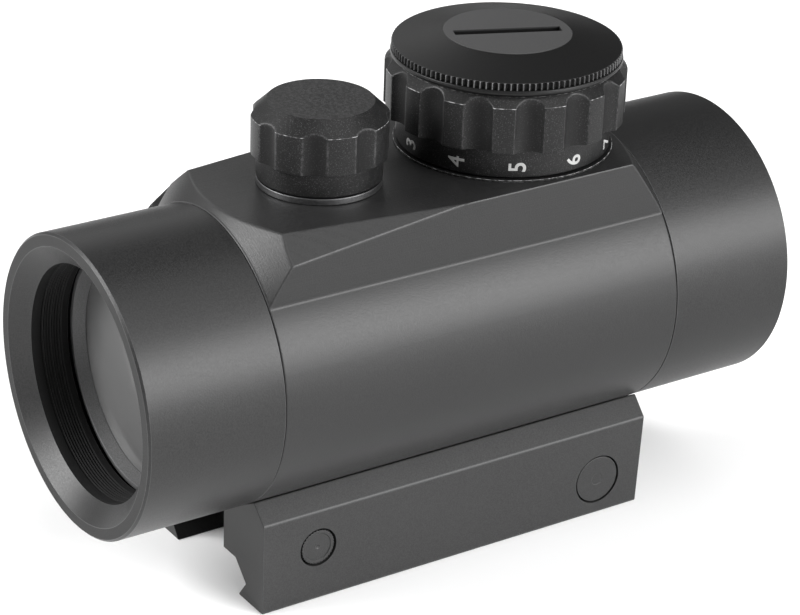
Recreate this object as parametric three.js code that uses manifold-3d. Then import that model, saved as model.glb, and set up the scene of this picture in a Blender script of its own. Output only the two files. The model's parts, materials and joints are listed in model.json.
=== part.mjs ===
// Red dot sight: a 39 mm tube in three lengths, a tilting inner tube with the reflecting lens and
// the light source, two capped adjusters, a brightness dial that holds the coin cell, and a rail
// clamp. Millimetres, +Z up, the target side towards -Y, the dial's near side towards +X.
// The origin is the middle of the rail seat, on the plane that rests on the rail.

import * as THREE from 'three';
import { mergeVertices } from 'three/addons/utils/BufferGeometryUtils.js';
import Module from 'manifold-3d';

const wasm = await Module();
wasm.setup();

// Driving dimensions ------------------------------------------------------------------------

const AXIS_HEIGHT = 26.5; // optical axis above the rail seat
const TUBE_RADIUS = 19.5;
const APERTURE_RADIUS = 15.25;
const FRONT_FACE = -49.2;
const FRONT_SEAM = -30.3; // front tube meets the housing
const REAR_SEAM = 29.3; // housing meets the rear tube
const REAR_FACE = 48.3;
const ELEVATION_Y = -14.2;
const DIAL_Y = 13.85;
const TOP_FLAT = 20.4; // heights of turrets and dial are measured from the optical axis
const WINDAGE_FLAT = 23.2;
const NEAR_FLAT = 15; // half width of the housing's block on the near side
const FAR_FLAT = 14.2;
const BASE_LENGTH = 59.4;
const JAW_BOTTOM = -5;
const DETENT_STEPS = 11;

const CLEARANCE = 0.3; // between pieces that are cut to each other's shape
const RUNNING = 0.1; // between pieces that turn or screw together
const EDGE = 0.3; // small broken edges
const ROUND = 40; // facets on the tubes
const KNOB_ROUND = 32; // facets on the knobs
const SMALL_ROUND = 20; // facets on collars, seals and studs
const FLUTE_ROUND = 12; // facets on the cutters for the knobs' flutes
const FINE_ROUND = 10; // facets on the smallest round pieces

// Materials ---------------------------------------------------------------------------------

const finish = (color, roughness, metalness) =>
  new THREE.MeshStandardMaterial({ color, roughness, metalness });

const MATERIALS = {
  anodised: finish(0x3b3b3c, 0.55, 0.6),
  knob: finish(0x2b2b2c, 0.5, 0.6),
  blackened: finish(0x1c1c1d, 0.6, 0.5),
  glass: finish(0x9aa0a4, 0.05, 0),
  steel: finish(0xb8babc, 0.3, 1),
  brass: finish(0xb08d4a, 0.4, 1),
  rubber: finish(0x151515, 0.9, 0),
  board: finish(0x1f5a34, 0.6, 0),
  lamp: finish(0xc02418, 0.3, 0),
};

// Solids ------------------------------------------------------------------------------------

/** A closed solid from a geometry: shared corners merged, flat slivers dropped, faces out. */
function solidOf(geometry) {
  geometry.deleteAttribute('normal');
  geometry.deleteAttribute('uv');
  const merged = mergeVertices(geometry);
  const index = merged.index.array;
  const corners = [];
  for (let i = 0; i < index.length; i += 3) {
    const [a, b, c] = index.slice(i, i + 3);
    if (a !== b && b !== c && c !== a) corners.push(a, b, c);
  }
  const vertProperties = new Float32Array(merged.attributes.position.array);
  const make = (order) => new wasm.Manifold(new wasm.Mesh({ numProp: 3, vertProperties, triVerts: order }));
  const body = make(new Uint32Array(corners));
  return body.volume() < 0 ? make(new Uint32Array(corners.reverse())) : body;
}

const cut = (body, ...tools) => tools.reduce((left, tool) => left.subtract(tool), body);

const join = (body, ...others) => others.reduce((sum, other) => sum.add(other), body);

/**
 * A profile of [radius, along] points turned about x, y or z, with the axis through `at`.
 * The profile either starts and ends on the axis or is closed.
 */
function turned(axis, profile, segments = SMALL_ROUND, at = [0, 0, 0]) {
  const points = profile.map(([radius, along]) => new THREE.Vector2(radius, along));
  const onAxis = points[0].x === 0 && points.at(-1).x === 0;
  if (!onAxis) points.push(points[0].clone());
  const geometry = new THREE.LatheGeometry(points, segments);
  if (axis === 'z') geometry.rotateX(Math.PI / 2);
  if (axis === 'x') geometry.rotateZ(-Math.PI / 2);
  return solidOf(geometry.translate(...at));
}

/** A plain disc or shaft about x, y or z. */
const rod = (axis, radius, from, to, segments, at) =>
  turned(axis, [[0, from], [radius, from], [radius, to], [0, to]], segments, at);

/** A plain tube or washer about x, y or z. */
const sleeve = (axis, inner, outer, from, to, segments, at) =>
  turned(axis, [[inner, from], [outer, from], [outer, to], [inner, to]], segments, at);

/** A ring of round section about z. */
function seal(ringRadius, sectionRadius, height) {
  const geometry = new THREE.TorusGeometry(ringRadius, sectionRadius, 6, KNOB_ROUND);
  return solidOf(geometry.translate(0, 0, height));
}

/** A box between two corners. */
function block([x0, y0, z0], [x1, y1, z1]) {
  const geometry = new THREE.BoxGeometry(x1 - x0, y1 - y0, z1 - z0);
  return solidOf(geometry.translate((x0 + x1) / 2, (y0 + y1) / 2, (z0 + z1) / 2));
}

const shapeOf = (outline) => new THREE.Shape(outline.map(([u, v]) => new THREE.Vector2(u, v)));

/** An outline of [x, z] points pushed along Y. */
function barAlongY(outline, from, to) {
  const geometry = new THREE.ExtrudeGeometry(shapeOf(outline), { depth: to - from, bevelEnabled: false });
  return solidOf(geometry.rotateX(Math.PI / 2).translate(0, to, 0));
}

/** An outline of [x, y] points pushed along Z. */
function barAlongZ(outline, from, to) {
  const geometry = new THREE.ExtrudeGeometry(shapeOf(outline), { depth: to - from, bevelEnabled: false });
  return solidOf(geometry.translate(0, 0, from));
}

/** A wedge-shaped cutter: everything on the far side of the plane through three points. */
function halfSpace(a, b, c, size) {
  const origin = new THREE.Vector3(...a);
  const along = new THREE.Vector3(...b).sub(origin).normalize();
  const normal = new THREE.Vector3().crossVectors(along, new THREE.Vector3(...c).sub(origin)).normalize();
  const across = new THREE.Vector3().crossVectors(normal, along);
  const geometry = new THREE.BoxGeometry(size, size, size).translate(0, 0, size / 2);
  geometry.applyMatrix4(new THREE.Matrix4().makeBasis(along, across, normal).setPosition(origin));
  return solidOf(geometry);
}

/** Upright pegs set at equal angles around z, at a given distance from it. */
function pegsAroundZ(count, firstAngle, distance, radius, from, to, segments) {
  const step = (2 * Math.PI) / count;
  return Array.from({ length: count }, (_, i) => {
    const angle = firstAngle + i * step;
    return rod('z', radius, from, to, segments, [distance * Math.cos(angle), distance * Math.sin(angle), 0]);
  });
}

/** Turns a solid into a named mesh and puts it in a group. */
function addMesh(group, name, body, material) {
  const { vertProperties, triVerts } = body.getMesh();
  const geometry = new THREE.BufferGeometry();
  geometry.setAttribute('position', new THREE.BufferAttribute(new Float32Array(vertProperties), 3));
  geometry.setIndex(new THREE.BufferAttribute(new Uint32Array(triVerts), 1));
  geometry.computeVertexNormals();
  const mesh = new THREE.Mesh(geometry, material);
  mesh.name = name;
  group.add(mesh);
}

const part = new THREE.Group();
const optics = new THREE.Group(); // its own Y axis is the optical axis
optics.position.z = AXIS_HEIGHT;
part.add(optics);

// Outer tubes -------------------------------------------------------------------------------

const HOUSING_BORE = 17.9;
const SPIGOT_RADIUS = HOUSING_BORE - CLEARANCE;
const SPIGOT_LENGTH = 6;
const SPIGOT_BORE = 16.7;
const BEZEL_RADIUS = 17.75;
const BEZEL_DEPTH = 2;
const SEAM_GAP = 0.05;

/** One end tube, drawn with its open face at 0 and the housing's seam at `length`. */
function endTube(length, innerSteps) {
  return [
    [BEZEL_RADIUS, 0],
    [TUBE_RADIUS - EDGE, 0],
    [TUBE_RADIUS, EDGE],
    [TUBE_RADIUS, length - SEAM_GAP],
    [SPIGOT_RADIUS, length - SEAM_GAP],
    [SPIGOT_RADIUS, length + SPIGOT_LENGTH],
    [SPIGOT_BORE, length + SPIGOT_LENGTH],
    ...innerSteps,
    [APERTURE_RADIUS, BEZEL_DEPTH],
  ];
}

const LIP_DEPTH = 7.2; // the front tube's narrow stretch, with the thread for a shade in it
const THREAD_RADIUS = 15.8;
const THREAD_START = 3.4;
const THREAD_END = 6.2;

function makeFrontTube() {
  const steps = [
    [SPIGOT_BORE, LIP_DEPTH],
    [APERTURE_RADIUS, LIP_DEPTH],
    [APERTURE_RADIUS, THREAD_END],
    [THREAD_RADIUS, THREAD_END],
    [THREAD_RADIUS, THREAD_START],
    [APERTURE_RADIUS, THREAD_START],
  ];
  const profile = endTube(FRONT_SEAM - FRONT_FACE, steps).map(([r, along]) => [r, FRONT_FACE + along]);
  addMesh(optics, 'front_tube', turned('y', profile, ROUND), MATERIALS.anodised);
}

const WINDOW_RADIUS = 16.1;
const WINDOW_SEAT = 8.6; // the rear window's shoulder, in from the rear face
const WINDOW_THICKNESS = 2;
const WINDOW_RING_LENGTH = 2.2;

function makeRearTube() {
  const pocket = WINDOW_RADIUS + RUNNING;
  const steps = [[SPIGOT_BORE, 14], [pocket, 14], [pocket, WINDOW_SEAT], [APERTURE_RADIUS, WINDOW_SEAT]];
  const profile = endTube(REAR_FACE - REAR_SEAM, steps).map(([r, along]) => [r, REAR_FACE - along]);
  addMesh(optics, 'rear_tube', turned('y', profile, ROUND), MATERIALS.anodised);

  const seatY = REAR_FACE - WINDOW_SEAT - RUNNING;
  const windowFront = seatY - WINDOW_THICKNESS;
  addMesh(optics, 'rear_window', rod('y', WINDOW_RADIUS, windowFront, seatY, ROUND), MATERIALS.glass);
  const ringBack = windowFront - RUNNING;
  const ring = sleeve('y', 14.4, WINDOW_RADIUS, ringBack - WINDOW_RING_LENGTH, ringBack, ROUND);
  addMesh(optics, 'rear_window_ring', ring, MATERIALS.blackened);
}

/** A square-section seal at a seam, in the step between spigot and housing bore. */
function makeTubeSeals() {
  const inner = SPIGOT_BORE + 0.2;
  const outer = HOUSING_BORE - RUNNING;
  const frontStart = FRONT_SEAM + SPIGOT_LENGTH + RUNNING;
  const rearEnd = REAR_SEAM - SPIGOT_LENGTH - RUNNING;
  const thickness = 0.8;
  const frontSeal = sleeve('y', inner, outer, frontStart, frontStart + thickness, ROUND);
  const rearSeal = sleeve('y', inner, outer, rearEnd - thickness, rearEnd, ROUND);
  addMesh(optics, 'front_tube_seal', frontSeal, MATERIALS.rubber);
  addMesh(optics, 'rear_tube_seal', rearSeal, MATERIALS.rubber);
}

// Housing -----------------------------------------------------------------------------------

const CONE_SLOPE = 1.08; // both ends of the block are turned back at this radius per length
const WEDGE_LENGTH = 22.7; // the tapering facets on the block's upper front corners
const WEDGE_WIDTH = 3;
const WEDGE_DROP = 2.7;
const WINDAGE_BOSS_RADIUS = 9.4;
const TURRET_BARREL = 5; // threaded part of a turret collar, in the housing wall
const DIAL_BARREL = 9.8;
const BASE_SCREW_YS = [-9, 11];
const BASE_SCREW_RADIUS = 1.4;

function makeHousing() {
  const frontCorner = FRONT_SEAM + (Math.hypot(NEAR_FLAT, TOP_FLAT) - TUBE_RADIUS) / CONE_SLOPE;
  const tube = rod('y', TUBE_RADIUS, FRONT_SEAM, REAR_SEAM, ROUND);
  const square = block([-FAR_FLAT, FRONT_SEAM, 0], [NEAR_FLAT, REAR_SEAM, TOP_FLAT]);
  const reach = 8;
  const envelope = turned('y', [
    [0, FRONT_SEAM],
    [TUBE_RADIUS, FRONT_SEAM],
    [TUBE_RADIUS + reach * CONE_SLOPE, FRONT_SEAM + reach],
    [TUBE_RADIUS + reach * CONE_SLOPE, REAR_SEAM - reach],
    [TUBE_RADIUS, REAR_SEAM],
    [0, REAR_SEAM],
  ], ROUND);
  const wedges = [[1, NEAR_FLAT], [-1, FAR_FLAT]].map(([side, flat]) => {
    const tip = [side * flat, frontCorner + WEDGE_LENGTH, TOP_FLAT];
    const upper = [side * (flat - WEDGE_WIDTH), frontCorner, TOP_FLAT];
    const lower = [side * flat, frontCorner, TOP_FLAT - WEDGE_DROP];
    return side > 0 ? halfSpace(tip, upper, lower, 80) : halfSpace(tip, lower, upper, 80);
  });
  const bossAt = [0, ELEVATION_Y, 0];
  const boss = rod('x', WINDAGE_BOSS_RADIUS, -WINDAGE_FLAT, -HOUSING_BORE + 1, KNOB_ROUND, bossAt);
  const outside = join(tube, cut(square.intersect(envelope), ...wedges), boss);
  const bore = rod('y', HOUSING_BORE, FRONT_SEAM - 1, REAR_SEAM + 1, ROUND);
  const hole = (radius, axis, from, to, y) => rod(axis, radius, from, to, KNOB_ROUND, [0, y, 0]);
  const screwHoles = BASE_SCREW_YS.map((y) => hole(BASE_SCREW_RADIUS + RUNNING, 'z', -TUBE_RADIUS - 1, 0, y));
  addMesh(optics, 'main_housing', cut(
    outside,
    bore,
    hole(TURRET_BARREL + RUNNING, 'z', 0, TOP_FLAT + 1, ELEVATION_Y),
    hole(TURRET_BARREL + RUNNING, 'x', -WINDAGE_FLAT - 1, 0, ELEVATION_Y),
    hole(DIAL_BARREL + RUNNING, 'z', 0, TOP_FLAT + 1, DIAL_Y),
    ...screwHoles,
  ), MATERIALS.anodised);
}

// Inner tube, lens and light source ------------------------------------------------------------

const INNER_RADIUS = 15.6;
const INNER_BORE = 13.9;
const CELL_RADIUS = 15.8;
const CELL_FACE = FRONT_FACE + 7.8;
const RING_LENGTH = 1.5;
const LENS_RADIUS = 15.2;
const LENS_THICKNESS = 2.8;
const LENS_SAG = 0.9; // both faces bulge towards the target
const CELL_BACK = CELL_FACE + RING_LENGTH + LENS_SAG + LENS_THICKNESS;
const INNER_END = REAR_SEAM - 3.6;
const PIVOT_Y = 19.8;
const PIVOT_HALF = 2;

function makeInnerTube() {
  const lensSeat = CELL_FACE + RING_LENGTH + LENS_THICKNESS + RUNNING;
  const tube = turned('y', [
    [CELL_RADIUS, CELL_FACE + RING_LENGTH + RUNNING],
    [CELL_RADIUS, CELL_BACK],
    [INNER_RADIUS, CELL_BACK],
    [INNER_RADIUS, INNER_END],
    [INNER_BORE, INNER_END],
    [INNER_BORE, lensSeat + 0.6],
    [LENS_RADIUS + RUNNING, lensSeat + 0.6],
    [LENS_RADIUS + RUNNING, CELL_FACE + RING_LENGTH + RUNNING],
  ], ROUND);
  addMesh(optics, 'inner_tube', tube, MATERIALS.blackened);

  const ring = [
    [CELL_RADIUS, CELL_FACE],
    [CELL_RADIUS, CELL_FACE + RING_LENGTH],
    [14.3, CELL_FACE + RING_LENGTH],
    [15.1, CELL_FACE],
  ];
  addMesh(optics, 'objective_ring', turned('y', ring, ROUND), MATERIALS.blackened);

  const edgeY = CELL_FACE + RING_LENGTH + RUNNING;
  const rings = 4;
  const bulge = (r) => LENS_SAG * (1 - (r / LENS_RADIUS) ** 2);
  const radii = Array.from({ length: rings + 1 }, (_, i) => (i * LENS_RADIUS) / rings);
  const front = radii.map((r) => [r, edgeY - bulge(r) * 0.9]);
  const back = radii.map((r) => [r, edgeY + LENS_THICKNESS - bulge(r)]).reverse();
  addMesh(optics, 'objective_lens', turned('y', [...front, ...back], KNOB_ROUND), MATERIALS.glass);
}

function makePivotRing() {
  const inner = INNER_RADIUS + RUNNING;
  const outer = HOUSING_BORE - RUNNING;
  const ring = sleeve('y', inner, outer, PIVOT_Y - PIVOT_HALF, PIVOT_Y + PIVOT_HALF, ROUND);
  addMesh(optics, 'pivot_ring', ring, MATERIALS.brass);
}

/** A bowed leaf that pushes the inner tube against both adjusters from the opposite side. */
function makeInnerSpring() {
  const steps = 10;
  const halfSweep = THREE.MathUtils.degToRad(32);
  const middle = THREE.MathUtils.degToRad(-45);
  const thickness = 0.3;
  const line = (offset) => Array.from({ length: steps + 1 }, (_, i) => {
    const t = (2 * i) / steps - 1;
    const radius = 16.3 + 1.2 * t * t + offset;
    const angle = middle + t * halfSweep;
    return [radius * Math.cos(angle), radius * Math.sin(angle)];
  });
  const outline = [...line(0), ...line(thickness).reverse()];
  const leaf = barAlongY(outline, ELEVATION_Y - 3, ELEVATION_Y + 3);
  addMesh(optics, 'inner_tube_spring', leaf, MATERIALS.steel);
}

const EMITTER_Y = 15;
const EMITTER_DROP = 11.8; // below the optical axis

function makeLightSource() {
  const holder = block([-2.5, EMITTER_Y, -EMITTER_DROP - 1.6], [2.5, EMITTER_Y + 5, -EMITTER_DROP + 1.5]);
  const lampAt = [0, 0, -EMITTER_DROP];
  const lampHole = rod('y', 1, EMITTER_Y - 1, EMITTER_Y + 2, FINE_ROUND, lampAt);
  addMesh(optics, 'emitter_holder', cut(holder, lampHole), MATERIALS.blackened);
  const lamp = rod('y', 0.85, EMITTER_Y - 0.4, EMITTER_Y + 1.8, FINE_ROUND, lampAt);
  addMesh(optics, 'led_emitter', lamp, MATERIALS.lamp);
  const boardStart = EMITTER_Y + 5 + RUNNING;
  const board = block([-2.2, boardStart, -EMITTER_DROP - 1.5], [2.2, boardStart + 0.6, -EMITTER_DROP + 1.4]);
  addMesh(optics, 'led_board', board, MATERIALS.board);
}

/** The lead from the dial's switch board, round the inner tube, to the light source. */
function makeLead() {
  const laneRadius = (INNER_RADIUS + HOUSING_BORE) / 2;
  const leadRadius = 0.4;
  const start = THREE.MathUtils.degToRad(100);
  const end = THREE.MathUtils.degToRad(262);
  const steps = 16;
  const points = Array.from({ length: steps + 1 }, (_, i) => {
    const angle = start + ((end - start) * i) / steps;
    return new THREE.Vector3(laneRadius * Math.cos(angle), DIAL_Y - 6, laneRadius * Math.sin(angle));
  });
  const section = shapeOf(Array.from({ length: 6 }, (_, i) => {
    const angle = (i * Math.PI) / 3;
    return [leadRadius * Math.cos(angle), leadRadius * Math.sin(angle)];
  }));
  const extrudePath = new THREE.CatmullRomCurve3(points);
  const geometry = new THREE.ExtrudeGeometry(section, { steps, bevelEnabled: false, extrudePath });
  addMesh(optics, 'led_lead', solidOf(geometry), MATERIALS.rubber);
}

// Turrets: drawn with the seat on the housing at height 0 ---------------------------------------

const COLLAR_RADIUS = 8;
const COLLAR_HEIGHT = 0.9;
const NECK_RADIUS = 6.3;
const NECK_TOP = 6.6;
const GRIP_RADIUS = 8.75;
const GRIP_BOTTOM = 4.17;
const GRIP_TOP = 9.15;
const CAP_TOP = 11.04;
const CAP_TOP_RADIUS = 6.77;
const CAP_FLUTES = { count: 8, radius: 3.2, depth: 0.53, first: THREE.MathUtils.degToRad(-36) };
const ADJUSTER_RADIUS = 2.5;
const ADJUSTER_HEAD = 4.4;
const TIP_GAP = 0.45; // room for the inner tube's tilt under an adjuster's tip

function makeCap(group, name) {
  const bottom = COLLAR_HEIGHT + 0.2;
  const body = turned('z', [
    [0, CAP_TOP],
    [CAP_TOP_RADIUS, CAP_TOP],
    [GRIP_RADIUS, GRIP_TOP],
    [GRIP_RADIUS, GRIP_BOTTOM],
    [COLLAR_RADIUS, GRIP_BOTTOM],
    [COLLAR_RADIUS, bottom],
    [NECK_RADIUS + 1.25, bottom],
    [NECK_RADIUS + 1.25, bottom + 1.3],
    [NECK_RADIUS + 0.15, bottom + 1.3],
    [NECK_RADIUS + 0.15, CAP_TOP - 2.4],
    [0, CAP_TOP - 2.4],
  ], KNOB_ROUND);
  const { count, radius, depth, first } = CAP_FLUTES;
  const distance = GRIP_RADIUS + radius - depth;
  const flutes = pegsAroundZ(count, first, distance, radius, GRIP_BOTTOM - 0.01, CAP_TOP + 1, FLUTE_ROUND);
  addMesh(group, name, cut(body, ...flutes), MATERIALS.knob);
}

/** One capped adjuster on a seat at `seat` from the optical axis. */
function makeTurret(group, prefix, seat) {
  const barrelBottom = HOUSING_BORE - seat + 0.3;
  const pocketFloor = 3;
  addMesh(group, `${prefix}_collar`, turned('z', [
    [ADJUSTER_RADIUS + RUNNING, barrelBottom],
    [TURRET_BARREL, barrelBottom],
    [TURRET_BARREL, SEAM_GAP],
    [COLLAR_RADIUS, SEAM_GAP],
    [COLLAR_RADIUS, COLLAR_HEIGHT],
    [NECK_RADIUS, COLLAR_HEIGHT],
    [NECK_RADIUS, NECK_TOP],
    [ADJUSTER_HEAD + 0.2, NECK_TOP],
    [ADJUSTER_HEAD + 0.2, pocketFloor],
    [ADJUSTER_RADIUS + RUNNING, pocketFloor],
  ]), MATERIALS.steel);

  const headTop = NECK_TOP - 0.4;
  const tip = INNER_RADIUS + TIP_GAP - seat;
  const screw = turned('z', [
    [0, tip],
    [ADJUSTER_RADIUS - 0.8, tip],
    [ADJUSTER_RADIUS, tip + 0.8],
    [ADJUSTER_RADIUS, pocketFloor + RUNNING],
    [ADJUSTER_HEAD, pocketFloor + RUNNING],
    [ADJUSTER_HEAD, headTop],
    [0, headTop],
  ]);
  const slot = block([-ADJUSTER_HEAD - 1, -0.6, headTop - 1.4], [ADJUSTER_HEAD + 1, 0.6, headTop + 1]);
  addMesh(group, `${prefix}_screw`, cut(screw, slot), MATERIALS.brass);
  addMesh(group, `${prefix}_cap_seal`, seal(NECK_RADIUS + 0.65, 0.5, COLLAR_HEIGHT + 0.85), MATERIALS.rubber);
  makeCap(group, `${prefix}_cap`);
}

function makeTurrets() {
  const elevation = new THREE.Group();
  elevation.position.set(0, ELEVATION_Y, TOP_FLAT);
  optics.add(elevation);
  makeTurret(elevation, 'elevation', TOP_FLAT);

  const windage = new THREE.Group();
  windage.position.set(-WINDAGE_FLAT, ELEVATION_Y, 0);
  windage.rotation.y = -Math.PI / 2;
  optics.add(windage);
  makeTurret(windage, 'windage', WINDAGE_FLAT);
}

// Brightness dial, with the coin cell in it: drawn with the top flat at height 0 ------------------

const FLANGE_RADIUS = 14.3;
const FLANGE_HEIGHT = 0.3;
const HUB_RADIUS = 8;
const HUB_NECK = 6.6;
const HUB_SHOULDER = 5.1;
const HUB_TOP = 5.7;
const SKIRT_RADIUS = 13.9;
const SKIRT_BOTTOM = 0.55;
const DIAL_GRIP_RADIUS = 15.7;
const DIAL_GRIP_BOTTOM = 4.43;
const DIAL_GRIP_TOP = 10.5;
const DIAL_TOP = 11.65;
const DIAL_TOP_RADIUS = 14.5;
const WEB_BOTTOM = 3.8;
const WEB_TOP = 5;
const CHAMBER_RADIUS = 10.3;
const CHAMBER_TOP = 10;
const CAP_THREAD = 12.5;
const DIAL_FLUTES = { count: 15, radius: 2.48, depth: 1, first: 0 };
const CELL_SIZE = { radius: 10, height: 3.2, bottom: 6.6 };
const DETENT_RADIUS = 10.9;
const SEAL_GROOVE = { radius: 13.6, halfWidth: 0.5, depth: 0.75 };

function makeDialBase(group) {
  const barrelBottom = HOUSING_BORE - TOP_FLAT + 0.6;
  const base = turned('z', [
    [2, barrelBottom],
    [DIAL_BARREL, barrelBottom],
    [DIAL_BARREL, SEAM_GAP],
    [FLANGE_RADIUS, SEAM_GAP],
    [FLANGE_RADIUS, FLANGE_HEIGHT],
    [HUB_RADIUS, FLANGE_HEIGHT],
    [HUB_RADIUS, HUB_SHOULDER],
    [HUB_NECK, HUB_SHOULDER],
    [HUB_NECK, HUB_TOP],
    [2, HUB_TOP],
  ], KNOB_ROUND);
  const detentAt = [0, DETENT_RADIUS, 0];
  const tower = rod('z', 1.55, SEAM_GAP + 0.1, 2.5, FINE_ROUND, detentAt);
  const pocket = rod('z', 0.95, 0.5, 3, FINE_ROUND, detentAt);
  addMesh(group, 'dial_base', cut(join(base, tower), pocket), MATERIALS.knob);

  const coil = sleeve('z', 0.5, 0.8, 0.6, 2.1, FINE_ROUND, detentAt);
  addMesh(group, 'detent_spring', coil, MATERIALS.steel);
  const ball = solidOf(new THREE.SphereGeometry(0.8, FINE_ROUND, 6).translate(0, DETENT_RADIUS, 2.95));
  addMesh(group, 'detent_ball', ball, MATERIALS.steel);
  const clip = sleeve('z', HUB_NECK + RUNNING, HUB_RADIUS + 1.4, HUB_SHOULDER + 0.1, HUB_SHOULDER + 0.5);
  addMesh(group, 'dial_retainer', clip, MATERIALS.steel);
  addMesh(group, 'switch_board', rod('z', HUB_NECK - 0.2, HUB_TOP + 0.05, HUB_TOP + 0.5), MATERIALS.board);
  const contact = sleeve('z', 1.2, 2.6, HUB_TOP + 0.55, CELL_SIZE.bottom - 0.05, FINE_ROUND);
  addMesh(group, 'battery_contact', contact, MATERIALS.brass);
}

function makeDial(group) {
  const { radius: grooveRadius, halfWidth, depth: grooveDepth } = SEAL_GROOVE;
  const body = turned('z', [
    [HUB_RADIUS + RUNNING, WEB_BOTTOM],
    [SKIRT_RADIUS - 1.2, WEB_BOTTOM],
    [SKIRT_RADIUS - 1.2, SKIRT_BOTTOM],
    [SKIRT_RADIUS, SKIRT_BOTTOM],
    [SKIRT_RADIUS, DIAL_GRIP_BOTTOM],
    [DIAL_GRIP_RADIUS, DIAL_GRIP_BOTTOM],
    [DIAL_GRIP_RADIUS, DIAL_GRIP_TOP],
    [DIAL_TOP_RADIUS, DIAL_TOP],
    [grooveRadius + halfWidth, DIAL_TOP],
    [grooveRadius + halfWidth, DIAL_TOP - grooveDepth],
    [grooveRadius - halfWidth, DIAL_TOP - grooveDepth],
    [grooveRadius - halfWidth, DIAL_TOP],
    [CAP_THREAD + RUNNING, DIAL_TOP],
    [CAP_THREAD + RUNNING, CHAMBER_TOP],
    [CHAMBER_RADIUS, CHAMBER_TOP],
    [CHAMBER_RADIUS, WEB_TOP],
    [HUB_RADIUS + RUNNING, WEB_TOP],
  ], ROUND);
  const { count, radius, depth, first } = DIAL_FLUTES;
  const distance = DIAL_GRIP_RADIUS + radius - depth;
  const fluteFloor = DIAL_GRIP_BOTTOM - 0.01;
  const flutes = pegsAroundZ(count, first, distance, radius, fluteFloor, DIAL_TOP + 1, FLUTE_ROUND);
  const dimpleTop = WEB_BOTTOM + 0.4;
  const dimples = pegsAroundZ(DETENT_STEPS, Math.PI / 2, DETENT_RADIUS, 0.7, WEB_BOTTOM - 1, dimpleTop, 6);
  addMesh(group, 'brightness_dial', cut(body, ...flutes, ...dimples), MATERIALS.knob);
}

const COVER_BOTTOM = CHAMBER_TOP + 0.2;
const COVER_RIM = 14.9;
const COVER_RIM_TOP = 13.56;
const COVER_TOP = 15.07;
const COVER_DISC = 8.24;
const COIN_SLOT = { length: 13.6, width: 1.7, depth: 1.2, turn: THREE.MathUtils.degToRad(68) };

function makeBattery(group) {
  const { radius, height, bottom } = CELL_SIZE;
  const cell = turned('z', [
    [0, bottom],
    [radius - 1.2, bottom],
    [radius - 1, bottom + 0.5],
    [radius, bottom + 0.5],
    [radius, bottom + height],
    [0, bottom + height],
  ]);
  addMesh(group, 'battery', cell, MATERIALS.steel);

  const cover = turned('z', [
    [0, COVER_BOTTOM],
    [CAP_THREAD, COVER_BOTTOM],
    [CAP_THREAD, DIAL_TOP + 0.1],
    [COVER_RIM, DIAL_TOP + 0.1],
    [COVER_RIM, COVER_RIM_TOP],
    [COVER_DISC, COVER_TOP],
    [0, COVER_TOP],
  ], KNOB_ROUND);
  const { length, width, depth, turn } = COIN_SLOT;
  const [cos, sin] = [Math.cos(turn), Math.sin(turn)];
  const corners = [[-1, -1], [1, -1], [1, 1], [-1, 1]].map(([along, across]) => {
    const [u, v] = [(along * length) / 2, (across * width) / 2];
    return [u * cos - v * sin, u * sin + v * cos];
  });
  const slot = barAlongZ(corners, COVER_TOP - depth, COVER_TOP + 1);
  addMesh(group, 'battery_cap', cut(cover, slot), MATERIALS.knob);
  const sealHeight = DIAL_TOP - SEAL_GROOVE.depth + 0.42;
  addMesh(group, 'battery_cap_seal', seal(SEAL_GROOVE.radius, 0.4, sealHeight), MATERIALS.rubber);
}

function makeDialGroup() {
  const group = new THREE.Group();
  group.position.set(0, DIAL_Y, TOP_FLAT);
  optics.add(group);
  makeDialBase(group);
  makeDial(group);
  makeBattery(group);
}

// Rail clamp ----------------------------------------------------------------------------------

const NEAR_FACE = 13.4;
const SEAT_FAR_EDGE = -8;
const LEDGE = { inner: 3.5, outer: 6.45 };
const GROOVE = { x: 9.1, z: -2.6 }; // the apex of the hook under the rail's edge
const LIP_X = 7.3;
const JAW_SHIFT = 1.2; // how much further out the moving jaw's hook lies
const JAW_TOP = { x: 11, z: 10, faceZ: 7.85 };
const END_NOTCH = 5.3; // the middle of the base stops short of both ends
const FAR_FACE = -13.9;
const STUDS = {
  front: { y: -21.5, z: 2.6, headRadius: 2.45 },
  rear: { y: 22.9, z: 0.2, headRadius: 3.3 },
};
const STUD_RADIUS = 1.85;
const STUD_END = -20.6;
const STUD_HEAD_LENGTH = 2.3;
const NUT = { radius: 4, length: 3.4, bore: 2 };

/** Points along the saddle under the tube, from one x to another. */
function saddle(fromX, toX, steps) {
  const radius = TUBE_RADIUS + CLEARANCE;
  return Array.from({ length: steps + 1 }, (_, i) => {
    const x = fromX + ((toX - fromX) * i) / steps;
    return [x, AXIS_HEIGHT - Math.sqrt(radius * radius - x * x)];
  });
}

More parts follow.
